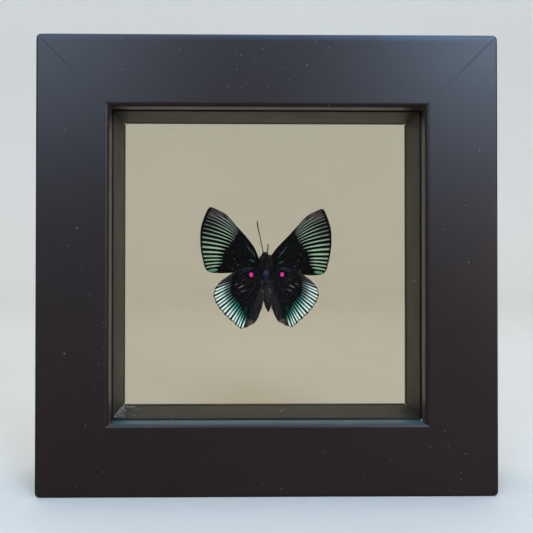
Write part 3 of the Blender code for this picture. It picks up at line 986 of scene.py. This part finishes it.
def forewing_ray_colour(paint):
    """Sage green that dulls towards the margin, bluer or greyer where a ray starts."""
    line, share = paint.line, paint.share
    colour = paint.ramp((paint.ray + 2.0) / 20.0, [
        (0.05, tone(112, 158, 132)), (0.15, tone(170, 198, 166)), (0.35, tone(176, 202, 168)),
        (0.45, tone(172, 196, 167)), (0.60, tone(174, 194, 170)), (0.75, tone(174, 190, 174)),
        (0.85, tone(176, 188, 178)), (0.90, tone(176, 190, 180)),
    ])
    blue_start = paint.rise(share, 0.70, 0.58) * 0.7 * paint.rise(line, 9.0, 7.0)
    grey_start = paint.rise(share, 0.66, 0.60) * 0.6 * paint.rise(line, 11.0, 13.0)
    dull = paint.rise(share, 0.80, 0.97) * (0.20 + 0.45 * paint.rise(line, 7.0, 11.0))
    return paint.covered(
        colour, (blue_start, tone(84, 134, 118)), (grey_start, tone(172, 190, 176)),
        (dull, tone(100, 104, 104)),
        ((paint.scale_tone - 0.4) * 0.35, (0.03, 0.05, 0.035, 1.0)),
    )


def forewing_ground(paint):
    """The black between the rays, browner by the margin and mauve-brown at the tip."""
    line, share, streak = paint.line, paint.share, paint.streak
    black = paint.mix(streak, (0.0009, 0.0008, 0.0011, 1.0), (0.0042, 0.0035, 0.0040, 1.0))
    brown = paint.rise(share, 0.70, 0.90) * paint.rise(share, 0.985, 0.96)
    brown = brown * paint.rise(streak, 0.3, 0.6)
    tip = paint.rise(line, 12.5, 15.0) * paint.rise(share, 0.74, 0.90)
    tip = tip * paint.rise(share, 0.985, 0.95)
    clouds = paint.rise(paint.noise(paint.flat, 1.5, 4.0, 0.65), 0.52, 0.72)
    clouds = clouds * paint.rise(share, 0.62, 0.55)
    return paint.covered(
        black, (brown * 0.4, tone(42, 37, 34)),
        (tip * paint.rise(streak, 0.42, 0.66), tone(136, 118, 116)),
        (clouds * 0.7, tone(60, 55, 64)),
    )


def forewing_upper():
    """Black, with sage-green rays from the margin to the disc's edge."""
    paint = WingPaint("forewing_scales")
    share = paint.share
    wedge = paint.mark((19.3, 1.55), (1.75, 0.52), -8.0) * (0.6 + paint.streak * 0.4)
    front_dash = paint.mark((5.75, 8.6), (2.7, 0.15), 50.0) * paint.rise(paint.streak, 0.42, 0.56)
    root_dash = paint.mark((5.2, 4.95), (1.0, 0.26), 20.0)
    specks = paint.specks(paint.flat, 0.95, (0.17, 0.08), (0.55, 0.62))
    specks = specks * paint.rise(share, 0.16, 0.24) * paint.rise(share, 0.57, 0.52)
    specks = specks * paint.rise(paint.line, 14.0, 13.0)
    full = paint.mix(forewing_rays(paint), forewing_ground(paint), forewing_ray_colour(paint))
    return paint.scaly(paint.covered(
        full, (wedge, tone(104, 156, 130)), (front_dash * 0.8, tone(88, 118, 120)),
        (root_dash * 0.8, tone(46, 92, 90)), (specks * 0.85, tone(156, 150, 146)),
    ))


def hindwing_rays(paint, vein):
    """1 on the pale rays, which lie in pairs between the veins and widen outwards."""
    share, ray = paint.share, paint.ray
    start = 0.585 + paint.luck * 0.03
    edge = paint.ragged(paint.off, 0.08)
    width = 0.14 + 0.17 * paint.rise(share, start, start + 0.28) - paint.rise(ray, 0.6, -0.4) * 0.10
    rays = paint.rise(edge, width + 0.06, width - 0.06)
    rays = rays * paint.rise(paint.ragged(vein, 0.06), 0.22, 0.34)
    rays = rays * paint.rise(share, start, start + 0.05) * paint.rise(share, 0.992, 0.975)
    return rays * paint.rise(paint.line, 15.6, 15.2)


def hindwing_ray_colour(paint):
    """Ice blue, teal where the lower rays start and dull grey by the front edge."""
    lower = paint.ramp(paint.share, [
        (0.58, tone(20, 70, 66)), (0.68, tone(58, 138, 130)), (0.77, tone(150, 208, 194)),
        (0.86, tone(232, 251, 243)), (0.98, tone(244, 255, 250)),
    ])
    upper = paint.ramp(paint.share, [
        (0.60, tone(84, 88, 98)), (0.72, tone(146, 168, 172)), (0.80, tone(228, 246, 241)),
        (0.98, tone(242, 255, 251)),
    ])
    return paint.covered(
        paint.mix(paint.rise(paint.line, 8.0, 4.0), lower, upper),
        (paint.rise(paint.ray, 0.6, -0.4), tone(96, 88, 94)),
        ((paint.scale_tone - 0.5) * 0.25, (0.05, 0.10, 0.11, 1.0)),
    )


def hindwing_ground(paint, vein):
    """The black, teal in its folds, grey in the hind part and brown at the hind corner."""
    line, share, streak = paint.line, paint.share, paint.streak
    black = paint.mix(streak, (0.0009, 0.0008, 0.0012, 1.0), (0.0042, 0.0038, 0.0046, 1.0))
    clouds = paint.rise(paint.noise(paint.flat, 1.3, 5.0, 0.7), 0.46, 0.70)
    clouds = clouds * paint.rise(share, 0.62, 0.50)
    folds = paint.rise(share, 0.60, 0.72) * paint.rise(line, 3.0, 8.0) * paint.rise(vein, 0.5, 0.8)
    folds = folds * paint.rise(line, 15.8, 15.3)
    teal = paint.mark((7.75, -13.3), (0.65, 2.0), 10.0, 0.9) * paint.rise(streak, 0.3, 0.6)
    hind = paint.rise(line, 15.2, 17.5)
    hairy = paint.noise(paint.vector(line * 2.2, share * 3.0), 1.0, 5.0, 0.7)
    corner = paint.mark((6.3, -17.3), (2.6, 1.2), 22.0, 0.8)
    return paint.covered(
        black, (clouds * 0.7, tone(60, 55, 64)), (folds * 0.7, tone(16, 62, 60)),
        (teal * 0.6, tone(16, 64, 58)),
        (hind * paint.rise(hairy, 0.38, 0.72) * 0.8, tone(72, 68, 73)),
        (corner * hind * paint.rise(hairy, 0.25, 0.60) * 0.85, tone(118, 99, 83)),
    )


def hindwing_upper():
    """Black, with icy rays in pairs round the margin, a pink spot and a grey hind part."""
    paint = WingPaint("hindwing_scales")
    line, share = paint.line, paint.share
    pair = (line - 0.5) * 0.5
    vein = abs(pair - pair.math("ROUND")) * 2.0
    rim = paint.rise(line, -3.78, -3.92) * paint.rise(share, 0.75, 0.55)
    rim = rim * paint.rise(share, 0.18, 0.28)
    blue_dash = paint.mark((8.0, 1.65), (0.8, 0.20), -16.0)
    teal_dash = paint.mark((6.3, 2.05), (0.9, 0.17), -6.0)
    around_spot = paint.mark((5.55, -0.05), (1.35, 1.45), 0.0, 0.3)
    spot = paint.mark((5.55, -0.02), (0.69, 0.83), 0.0, 0.2)
    pink = paint.mix(paint.scale_tone, tone(246, 66, 172), tone(216, 42, 140))
    dashes = paint.mark((10.85, -3.45), (0.75, 0.15), -27.0) * 0.5
    dashes = dashes + paint.mark((9.15, -4.28), (1.15, 0.16), -29.0)
    dashes = dashes + paint.mark((8.27, -5.73), (0.95, 0.17), -18.0) * 0.55
    dashes = dashes + paint.mark((8.35, -1.85), (0.25, 0.22)) * 0.3
    blue_fleck = paint.mark((6.9, -5.7), (0.2, 0.36))
    ground = hindwing_ground(paint, vein)
    full = paint.mix(hindwing_rays(paint, vein), ground, hindwing_ray_colour(paint))
    return paint.scaly(paint.covered(
        full, (rim * 0.6, tone(84, 88, 92)), (blue_dash * 0.9, tone(34, 50, 104)),
        (teal_dash * 0.8, tone(30, 84, 84)), (around_spot, (0.0012, 0.0012, 0.0016, 1.0)),
        (spot, pink), (dashes * 0.75, tone(158, 142, 136)), (blue_fleck * 0.8, tone(34, 40, 96)),
    ))


def wing_under(name, ray_colour, spots):
    """The underside: brown-black with paler, broader rays and pink spots by the root."""
    paint = WingPaint(name)
    share = paint.share
    edge = paint.ragged(paint.off, 0.16)
    rays = paint.rise(edge, 0.36, 0.24) * paint.rise(share, 0.50, 0.60)
    rays = rays * paint.rise(share, 0.98, 0.95)
    ground = paint.mix(paint.streak, (0.012, 0.009, 0.008, 1.0), (0.028, 0.021, 0.018, 1.0))
    pink = tone(188, 48, 104)
    full = paint.covered(
        ground, (rays * 0.85, ray_colour),
        *[(paint.mark(centre, size, 0.0, 0.3), pink) for centre, size in spots],
        ((paint.scale_tone - 0.45) * 0.4, (0.02, 0.018, 0.016, 1.0)),
    )
    return paint.scaly(full, 0.25, 0.12)


def wings():
    fore_under = wing_under("forewing_underside", tone(126, 140, 134), [
        ((5.0, 5.6), (0.7, 0.8)), ((7.6, 7.4), (0.6, 0.8)), ((8.6, 3.6), (0.8, 0.6)),
    ])
    hind_under = wing_under("hindwing_underside", tone(170, 186, 188), [
        ((4.2, -0.6), (0.7, 0.9)), ((7.0, -1.4), (0.8, 0.7)), ((5.0, -5.0), (0.6, 0.9)),
        ((9.0, -4.2), (0.8, 0.7)),
    ])
    fore_over = forewing_upper()
    hind_over = hindwing_upper()
    for side, fore_shape in (("left", FOREWING), ("right", RIGHT_FOREWING)):
        wing(f"forewing_{side}", fore_shape, FOREWING_Y, FOREWING_BOW,
             [fore_over, fore_under], 1)
        wing(f"hindwing_{side}", HINDWING, HINDWING_Y, HINDWING_BOW,
             [hind_over, hind_under], 2)


# ---- the body ---------------------------------------------------------------------------------
LOBES = {
    # millimetres, as at() takes them: centre, radii
    "thorax": ((-0.15, 6.6, 1.7), (2.0, 2.1, 4.2)),
    "left_flap": ((-1.75, 5.7, 3.5), (0.95, 1.0, 2.4)),
    "right_flap": ((1.45, 5.7, 3.5), (0.95, 1.0, 2.4)),
    "left_collar": ((-1.35, 6.2, 5.6), (1.25, 1.3, 1.25)),
    "right_collar": ((0.85, 6.2, 5.9), (1.3, 1.3, 1.1)),
    "waist": ((0.05, 6.5, -3.1), (1.3, 1.5, 1.5)),
}


def at(right, back, up):
    """A place in metres: right and up from SPECIMEN and back from the model's middle, in mm."""
    return np.array((SPECIMEN[0] / MM + right, back, SPECIMEN[2] / MM + up)) * MM


def lobe(centre, radii, rings=25, sides=36, dents=0.0):
    """An ellipsoid whose poles lie up and down; dents is the depth of a soft unevenness."""
    polar = np.linspace(0.04, math.pi - 0.04, rings)[:, None]
    around = np.linspace(0, 2 * math.pi, sides, endpoint=False)[None]
    swell = 1 + dents * np.sin(3 * around + 2.2 * polar) * np.sin(4 * polar + 0.7)
    points = np.stack([
        np.sin(polar) * np.cos(around) * swell, np.sin(polar) * np.sin(around) * swell,
        np.broadcast_to(np.cos(polar), (rings, sides)),
    ], axis=-1)
    return closed_rings(centre + points * np.array(radii) * MM)


def lobe_skin(centre, radii, count, low=-1.0, high=1.0):
    """Scattered points on an ellipsoid between two heights, and the outward directions there."""
    height = rng.uniform(low, high, count)
    around = rng.uniform(0, 2 * math.pi, count)
    ring = np.sqrt(1 - height ** 2)
    ball = np.stack([ring * np.cos(around), ring * np.sin(around), height], axis=1)
    return centre + ball * np.array(radii) * MM, unit(ball / np.array(radii))


def coat(centre, radii, count, length, width, lie=0.9, low=-1.0, high=1.0):
    """Hair over a lobe: each one leans from the outward direction towards the tail by lie."""
    roots, outward = lobe_skin(centre, radii, count, low, high)
    leans = outward * 0.55 + np.array((0.0, 0.0, -lie)) + rng.normal(0, 0.22, (count, 3))
    bends = np.array((0.0, 0.0, -0.35)) - outward * 0.15
    bends = np.broadcast_to(bends, (count, 3))
    lengths = rng.uniform(0.6, 1.25, count) * length * MM
    widths = rng.uniform(0.7, 1.3, count) * width * MM
    return hair(roots, unit(leans), bends, lengths, widths)


def chitin_material():
    paint = Paint("body_chitin")
    place = paint.place()
    scales = paint.cells(place, 9000.0)
    patch = paint.noise(place, 900.0, 3.0, 0.6)
    colour = paint.mix(patch, (0.0045, 0.0038, 0.0042, 1.0), (0.0165, 0.0142, 0.0155, 1.0))
    return paint.finish(
        Base_Color=colour, Roughness=0.48 + patch * 0.2,
        Normal=paint.bump((1 - scales) * 0.7 + patch, 0.03 * MM, 0.6), Specular_IOR_Level=0.35,
    )


def hair_material(name, dark, light, roughness=0.55):
    paint = Paint(name)
    tuft = paint.noise(paint.place(), 1600.0, 3.0, 0.6)
    colour = paint.mix(paint.rise(tuft, 0.35, 0.7), dark, light)
    strand = paint.noise(paint.place(), 24000.0, 2.0)
    return paint.finish(
        Base_Color=colour, Roughness=roughness + (tuft - 0.5) * 0.15,
        Normal=paint.bump(strand, 0.01 * MM, 0.4), Specular_IOR_Level=0.25,
    )


def eye_material():
    """Dark brown eyes whose facets catch the light."""
    paint = Paint("eye_facets")
    place = paint.place()
    facets = paint.cells(place, 16000.0)
    colour = paint.mix(facets, (0.020, 0.012, 0.008, 1.0), (0.006, 0.004, 0.004, 1.0))
    return paint.finish(
        Base_Color=colour, Roughness=0.2 + facets * 0.2, Coat_Weight=0.5,
        Normal=paint.bump(1 - facets, 0.01 * MM, 0.5),
    )


def shield_material():
    """The bare, glossy navy plate at the rear of the thorax."""
    paint = Paint("navy_plate")
    place = paint.place()
    sheen = paint.noise(place, 1300.0, 3.0)
    wrinkles = paint.noise(paint.stretch(place, (1.0, 1.0, 0.25)), 5200.0, 3.0, 0.6)
    colour = paint.mix(sheen, tone(14, 14, 36), tone(36, 40, 80))
    return paint.finish(
        Base_Color=colour, Metallic=0.25, Roughness=0.40 + wrinkles * 0.15, Coat_Weight=0.08,
        Normal=paint.bump(wrinkles, 0.02 * MM, 0.5),
    )


def horn_material():
    """Brown horn with paler rings along each feeler and leg."""
    paint = Paint("feeler_horn")
    run = paint.split(paint.uv("run"))
    ring = (run * 46.0).math("FRACT")
    grain = paint.noise(paint.place(), 9000.0, 3.0)
    colour = paint.mix(grain, (0.020, 0.014, 0.010, 1.0), (0.045, 0.033, 0.024, 1.0))
    colour = paint.mix(paint.rise(ring, 0.22, 0.05) * 0.6, colour, (0.20, 0.17, 0.13, 1.0))
    return paint.finish(
        Base_Color=colour, Roughness=0.42 + grain * 0.15, Normal=paint.bump(grain, 0.01 * MM, 0.5),
    )


def head_piece(chitin):
    """The head capsule, two eyes and two scaled palps."""
    centre = at(-0.62, 6.3, 7.15)
    eyes = [
        lobe(centre + np.array((side * 0.72, -0.15, 0.08)) * MM, (0.56, 0.66, 0.62))
        for side in (-1, 1)
    ]
    add_piece("butterfly_eyes", joined(eyes), [eye_material()])
    palps = []
    for side in (-1, 1):
        knots = np.array([
            (side * 0.30, -0.55, 0.15), (side * 0.34, -0.95, 0.55), (side * 0.26, -1.0, 1.0),
        ]) * MM
        path = smooth_path(np.linspace(0, 1, 3), centre + knots, np.linspace(0, 1, 12))
        palps.append(tube(path, np.linspace(1, 0.35, 12) ** 0.7 * 0.26 * MM))
    add_piece(
        "butterfly_head", joined([lobe(centre, (0.95, 1.0, 0.85), dents=0.02), *palps]), [chitin],
        ["head"],
    )


def thorax_piece(chitin):
    """The thorax with its two shoulder flaps and the collar behind the head."""
    finer = {"thorax": (33, 44, 0.015), "left_flap": (25, 36, 0.02), "right_flap": (25, 36, 0.02)}
    bodies = [
        lobe(at(*centre), radii, *finer.get(name, ()))
        for name, (centre, radii) in LOBES.items()
    ]
    add_piece("butterfly_thorax", joined(bodies), [chitin], ["thorax"])
    plate = lobe(at(-0.38, 4.75, 0.12), (1.36, 0.78, 1.80))
    add_piece("thorax_plate", plate, [shield_material()])


def ring_map(run):
    """A map for a body of closed rings: u and v are both how far along a vertex lies."""
    return np.stack([np.concatenate([run, [0.0, 1.0]])] * 2, axis=1)


def abdomen_piece():
    """A turned body of eight rings.

    The radius climbs from the waist as a quarter sine, holds and closes with
    1 - share^4.5; within each ring it grows a little towards the tail, and drops
    at the next ring.
    """
    length, widest, waist = 10.8 * MM, 1.68 * MM, 0.62
    share = np.linspace(0, 0.995, 121)
    swell = np.sin(np.minimum(share / 0.45, 1) * math.pi / 2)
    phase = (share * 8.0) % 1.0
    radius = widest * (waist + (1 - waist) * swell) * (1 - share ** 4.5)
    radius = radius * (0.955 + 0.06 * np.sqrt(phase))
    around = np.linspace(0, 2 * math.pi, 40, endpoint=False)
    rings = np.stack([
        radius[:, None] * np.cos(around), radius[:, None] * np.sin(around) * 0.94,
        np.broadcast_to(-share[:, None] * length, (121, 40)),
    ], axis=-1)
    tilt = math.radians(-3.2)
    x = rings[..., 0] * math.cos(tilt) + rings[..., 2] * math.sin(tilt)
    z = rings[..., 2] * math.cos(tilt) - rings[..., 0] * math.sin(tilt)
    points = np.stack([x, rings[..., 1], z], axis=-1) + at(0.0, 6.4, -2.75)
    body = closed_rings(points)
    run = np.broadcast_to(share[:, None], (121, 40)).reshape(-1)
    add_piece(
        "butterfly_abdomen", body, [abdomen_material()], ["abdomen"],
        maps={"run": ring_map(run)},
    )


def abdomen_material():
    """Black scales with a grey sheen, paler at each ring's edge and browner at the tip."""
    paint = Paint("abdomen_scales")
    run = paint.split(paint.uv("run"))
    place = paint.place()
    ring = (run * 8.0).math("FRACT")
    scales = paint.cells(place, 9500.0)
    patch = paint.noise(place, 1500.0, 4.0, 0.65)
    colour = paint.mix(patch, (0.0040, 0.0034, 0.0038, 1.0), (0.019, 0.0165, 0.0178, 1.0))
    colour = paint.mix(paint.rise(ring, 0.80, 0.98) * 0.5, colour, (0.052, 0.045, 0.043, 1.0))
    colour = paint.mix(paint.rise(run, 0.80, 0.97) * 0.6, colour, (0.030, 0.012, 0.009, 1.0))
    return paint.finish(
        Base_Color=colour, Roughness=0.5 + patch * 0.2,
        Normal=paint.bump((1 - scales) * 0.8 + patch, 0.03 * MM, 0.7), Specular_IOR_Level=0.35,
    )


def body_hair():
    black = hair_material("black_hair", (0.0040, 0.0034, 0.0040, 1.0), (0.0300, 0.0262, 0.0295, 1.0))
    grey = hair_material("grey_hair", (0.0090, 0.0080, 0.0090, 1.0), (0.078, 0.070, 0.076, 1.0))
    pale = hair_material("pale_glint_hair", (0.10, 0.09, 0.085, 1.0), (0.30, 0.28, 0.265, 1.0))
    thorax, thorax_radii = at(*LOBES["thorax"][0]), LOBES["thorax"][1]
    tufts = [
        coat(thorax, thorax_radii, 1900, 1.05, 0.055, low=0.22, high=0.97),
        coat(thorax - np.array((1.0, 0.0, 1.2)) * MM, (1.1, 1.8, 2.6), 500, 0.9, 0.055),
        coat(thorax + np.array((1.0, 0.0, -1.2)) * MM, (1.1, 1.8, 2.6), 500, 0.9, 0.055),
    ]
    coats = {
        # name: count, length, width, lie
        "waist": (420, 0.8, 0.05), "left_flap": (900, 1.1, 0.055, 0.5),
        "right_flap": (900, 1.1, 0.055, 0.5), "left_collar": (560, 0.8, 0.05, 0.0),
        "right_collar": (560, 0.8, 0.05, 0.0),
    }
    for name, settings in coats.items():
        centre, radii = LOBES[name]
        tufts.append(coat(at(*centre), radii, *settings))
    add_piece("thorax_hair", joined(tufts), [black])
    crown = coat(at(-0.62, 6.2, 7.2), (0.8, 0.9, 0.8), 480, 0.55, 0.04, -0.5)
    add_piece("head_hair", crown, [black])
    down = coat(at(0.25, 6.4, -7.3), (1.3, 1.3, 4.6), 1100, 0.55, 0.035, 1.6)
    add_piece("abdomen_hair", down, [grey])
    add_piece("wing_base_hair", joined([long_hair(-1), long_hair(1)]), [grey])
    # painted highlight in part: pale tufts stand where white and beige glints show at the waist and below
    # the plate; in part pale hair
    spots = [
        ((0.95, 4.85, -5.1), 110), ((-1.5, 4.95, -5.7), 120), ((-0.1, 4.15, -1.3), 24),
        ((1.5, 4.8, -5.9), 60),
    ]
    size = (0.48, 0.2, 0.42)
    pale_glint_tufts = [coat(at(*place), size, count, 0.5, 0.045, 0.8) for place, count in spots]
    add_piece("pale_glint_tufts", joined(pale_glint_tufts), [pale])


def long_hair(side):
    """Long hair that fans from the thorax over the hindwing's inner part."""
    count = 520
    share = rng.uniform(0, 1, count) ** 0.8
    roots = np.stack([side * (1.45 + 0.55 * share + rng.uniform(-0.3, 0.3, count)),
                      rng.uniform(4.85, 5.0, count), -1.2 - 9.0 * share], axis=1)
    roots = roots * MM + SPECIMEN
    outward = (0.75 - 0.62 * share) + rng.normal(0, 0.10, count)
    depth = rng.uniform(-0.06, 0.02, count)
    leans = unit(np.stack([side * outward, depth, -np.ones(count)], axis=1))
    bends = np.tile((-side * 0.22, 0.0, -0.1), (count, 1))
    lengths = rng.uniform(1.8, 3.6, count) * MM
    widths = rng.uniform(0.03, 0.055, count) * MM
    return hair(roots, leans, bends, lengths, widths)


def fringe(node, shape, centre_y, bow, count, finish):
    """Short hair that stands outwards all along a wing's outer margin."""
    low, high = shape["lines"]
    lines = np.sort(rng.uniform(low, high, count))
    plan = fitted(wing_plan(shape, lines, np.array([0.0, 0.985, 1.0])), node)
    sign = 1 if node.endswith("right") else -1
    outward = unit(plan[:, 2] - plan[:, 1])
    depth = centre_y / MM + bow + rng.uniform(-0.04, 0.04, count)
    edge = plan[:, 2] - outward * 0.12
    back = depth + flutter(edge[:, 0], edge[:, 1])
    roots = np.stack([sign * edge[:, 0], back, edge[:, 1]], axis=1) * MM
    roots = roots + np.array((SPECIMEN[0], 0.0, SPECIMEN[2]))
    leans = np.stack([sign * outward[:, 0], rng.normal(0, 0.12, count), outward[:, 1]], axis=1)
    leans = unit(leans + rng.normal(0, 0.16, (count, 3)))
    bends = np.zeros((count, 3))
    lengths = rng.uniform(0.22, 0.46, count) * MM
    body = hair(roots, leans, bends, lengths, np.full(count, 0.06 * MM), steps=2)
    add_piece(f"{node}_fringe", body, [finish])


def fringes():
    brown = hair_material("fringe_hair", (0.006, 0.005, 0.005, 1.0), (0.035, 0.028, 0.026, 1.0))
    for side in ("left", "right"):
        fringe(f"forewing_{side}", FOREWING, FOREWING_Y, FOREWING_BOW, 520, brown)
        fringe(f"hindwing_{side}", HINDWING, HINDWING_Y, HINDWING_BOW, 620, brown)


def limb(name, node, knots, radii, count, finish, swell=0.0):
    """A feeler or leg: a smooth path, its radius run through radii and swollen at each ring."""
    steps = np.linspace(0, 1, count)
    places = np.array([at(*knot) for knot in knots])
    path = smooth_path(np.linspace(0, 1, len(knots)), places, steps)
    table = np.array(radii)
    width = np.interp(steps, np.linspace(0, 1, len(table)), table) * MM
    width = width * (1 + swell * np.sin(steps * 46 * 2 * math.pi))
    body = tube(path, width, 8)
    run = np.repeat(steps, 8)
    add_piece(name, body, [finish], [node], maps={"run": ring_map(run)})


FEELERS = {
    "antenna_left": ([(-1.15, 5.7, 7.6), (-1.42, 5.6, 8.7), (-1.92, 5.0, 11.0), (-2.6, 4.7, 14.2),
                      (-3.2, 4.7, 17.0), (-3.45, 4.8, 19.1)], (0.21, 0.18, 0.18, 0.18, 0.19, 0.27, 0.18)),
    "antenna_right": ([(0.15, 5.7, 7.4), (0.28, 5.6, 8.5), (0.38, 5.2, 9.6), (0.46, 5.0, 10.9)],
                      (0.23, 0.21, 0.20, 0.18)),
}
LEGS = {
    "front": ([(0.6, 8.4, 4.9), (0.9, 9.15, 4.4), (1.3, 9.35, 5.2), (0.9, 9.5, 6.2)],
              (0.2, 0.2, 0.17, 0.1)),
    "middle": ([(1.2, 8.2, 2.8), (1.55, 9.15, 2.2), (1.9, 9.3, 3.3), (2.05, 9.5, 1.4), (1.9, 9.6, -0.2)],
               (0.2, 0.2, 0.17, 0.13, 0.08)),
    "hind": ([(0.6, 8.4, 1.4), (0.9, 9.15, 0.7), (1.4, 9.35, -1.4), (1.1, 9.5, -4.2), (1.35, 9.6, -7.0)],
             (0.2, 0.2, 0.16, 0.12, 0.07)),
}


def limbs():
    horn = horn_material()
    for node, (knots, radii) in FEELERS.items():
        limb(f"ringed_{node}", node, knots, radii, 140, horn, 0.06)
    for pair, (knots, radii) in LEGS.items():
        for side, sign in (("left", -1), ("right", 1)):
            placed = [(sign * out, back, up) for out, back, up in knots]
            limb(f"jointed_leg_{pair}_{side}", f"leg_{pair}_{side}", placed, radii, 60, horn, 0.03)


def glue_piece():
    """A set drop of glue: a flared foot on the pane, a waist and a cap on the thorax."""
    low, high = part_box("glue_dab")
    paint = Paint("clear_glue")
    haze = paint.noise(paint.place(), 1400.0, 3.0)
    colour = paint.mix(haze, (0.86, 0.80, 0.64, 1.0), (0.93, 0.89, 0.78, 1.0))
    finish = paint.finish(
        Base_Color=colour, Roughness=0.10 + haze * 0.15, Transmission_Weight=0.85, IOR=1.46,
        Normal=paint.bump(haze, 0.05 * MM, 0.4),
    )
    share = np.linspace(0, 1, 15)
    radius = (0.62 + 0.42 * share ** 3 + 0.16 * (1 - share) ** 3) * MM
    around = np.linspace(0, 2 * math.pi, 28, endpoint=False)
    wobble = 1 + 0.05 * np.sin(3 * around + 0.6) + 0.03 * np.sin(5 * around)
    centre = (low + high) / 2
    depth = low.y - 0.5 * MM + share * (high.y - low.y + 0.75 * MM)
    rings = np.stack([
        centre.x + radius[:, None] * np.cos(around) * wobble,
        np.broadcast_to(depth[:, None], (15, 28)),
        centre.z + radius[:, None] * np.sin(around) * wobble,
    ], axis=-1)
    add_piece("glue_drop", closed_rings(rings), [finish], ["glue_dab"], sharp=60.0)


def crumbs(name, centres, sizes, finish):
    """Eight-sided crumbs: an octahedron at each centre with every corner shaken."""
    count = len(centres)
    corners = np.array([(1, 0, 0), (-1, 0, 0), (0, 1, 0), (0, -1, 0), (0, 0, 1), (0, 0, -1)])
    shaken = corners * rng.uniform(0.6, 1.3, (count, 6, 1)) + rng.normal(0, 0.12, (count, 6, 3))
    points = centres[:, None] + shaken * sizes[:, None, :] / 2
    face = np.array([
        (0, 2, 4), (2, 1, 4), (1, 3, 4), (3, 0, 4), (2, 0, 5), (1, 2, 5), (3, 1, 5), (0, 3, 5),
    ])
    faces = (face[None] + np.arange(count)[:, None, None] * 6).reshape(-1, 3)
    add_piece(name, (points.reshape(-1, 3), faces.tolist()), [finish])


def dust():
    """Dust that lies in the box's lower left corner, and a few chips on its other walls."""
    paint = Paint("box_dust")
    grit = paint.noise(paint.place(), 2600.0, 3.0, 0.6)
    colour = paint.mix(paint.rise(grit, 0.3, 0.7), (0.22, 0.23, 0.25, 1.0), (0.78, 0.80, 0.82, 1.0))
    finish = paint.finish(Base_Color=colour, Roughness=0.85, Normal=paint.bump(grit, 0.05 * MM, 0.6))
    floor_z = MIDDLE_Z - HALF_SIGHT
    count = 170
    along = rng.exponential(1.2 * MM, count)
    deep = rng.uniform(SPACER_LOW.y + 0.5 * MM, SPACER_HIGH.y - 0.5 * MM, count)
    size = rng.uniform(0.15, 0.55, (count, 3)) * MM
    heap = np.maximum(0.9 * MM - along, 0.0) * rng.uniform(0.0, 0.6, count)
    high = floor_z + size[:, 2] * 0.3 + heap
    centres = np.stack([-HALF_SIGHT + 0.1 * MM + along, deep, high], axis=1)
    crumbs("corner_dust", centres, size, finish)
    chips = np.array([
        (HALF_SIGHT - 0.05 * MM, -0.5 * MM, MIDDLE_Z - 5.7 * MM),
        (HALF_SIGHT - 0.7 * MM, -12.0 * MM, floor_z + 0.35 * MM),
        (5.5 * MM, 2.0 * MM, floor_z + 0.03 * MM), (6.6 * MM, 4.5 * MM, floor_z + 0.03 * MM),
    ])
    chip_sizes = np.array([(0.12, 1.3, 0.45), (1.1, 0.6, 0.9), (0.8, 1.8, 0.08), (0.5, 1.2, 0.06)]) * MM
    crumbs("wall_chips", chips, chip_sizes, finish)


def butterfly():
    wings()
    fringes()
    chitin = chitin_material()
    head_piece(chitin)
    thorax_piece(chitin)
    abdomen_piece()
    body_hair()
    limbs()
    glue_piece()


def main():
    add_camera()
    studio()
    frame_strips()
    bead_pins()
    panes()
    butterfly()
    dust()


main()
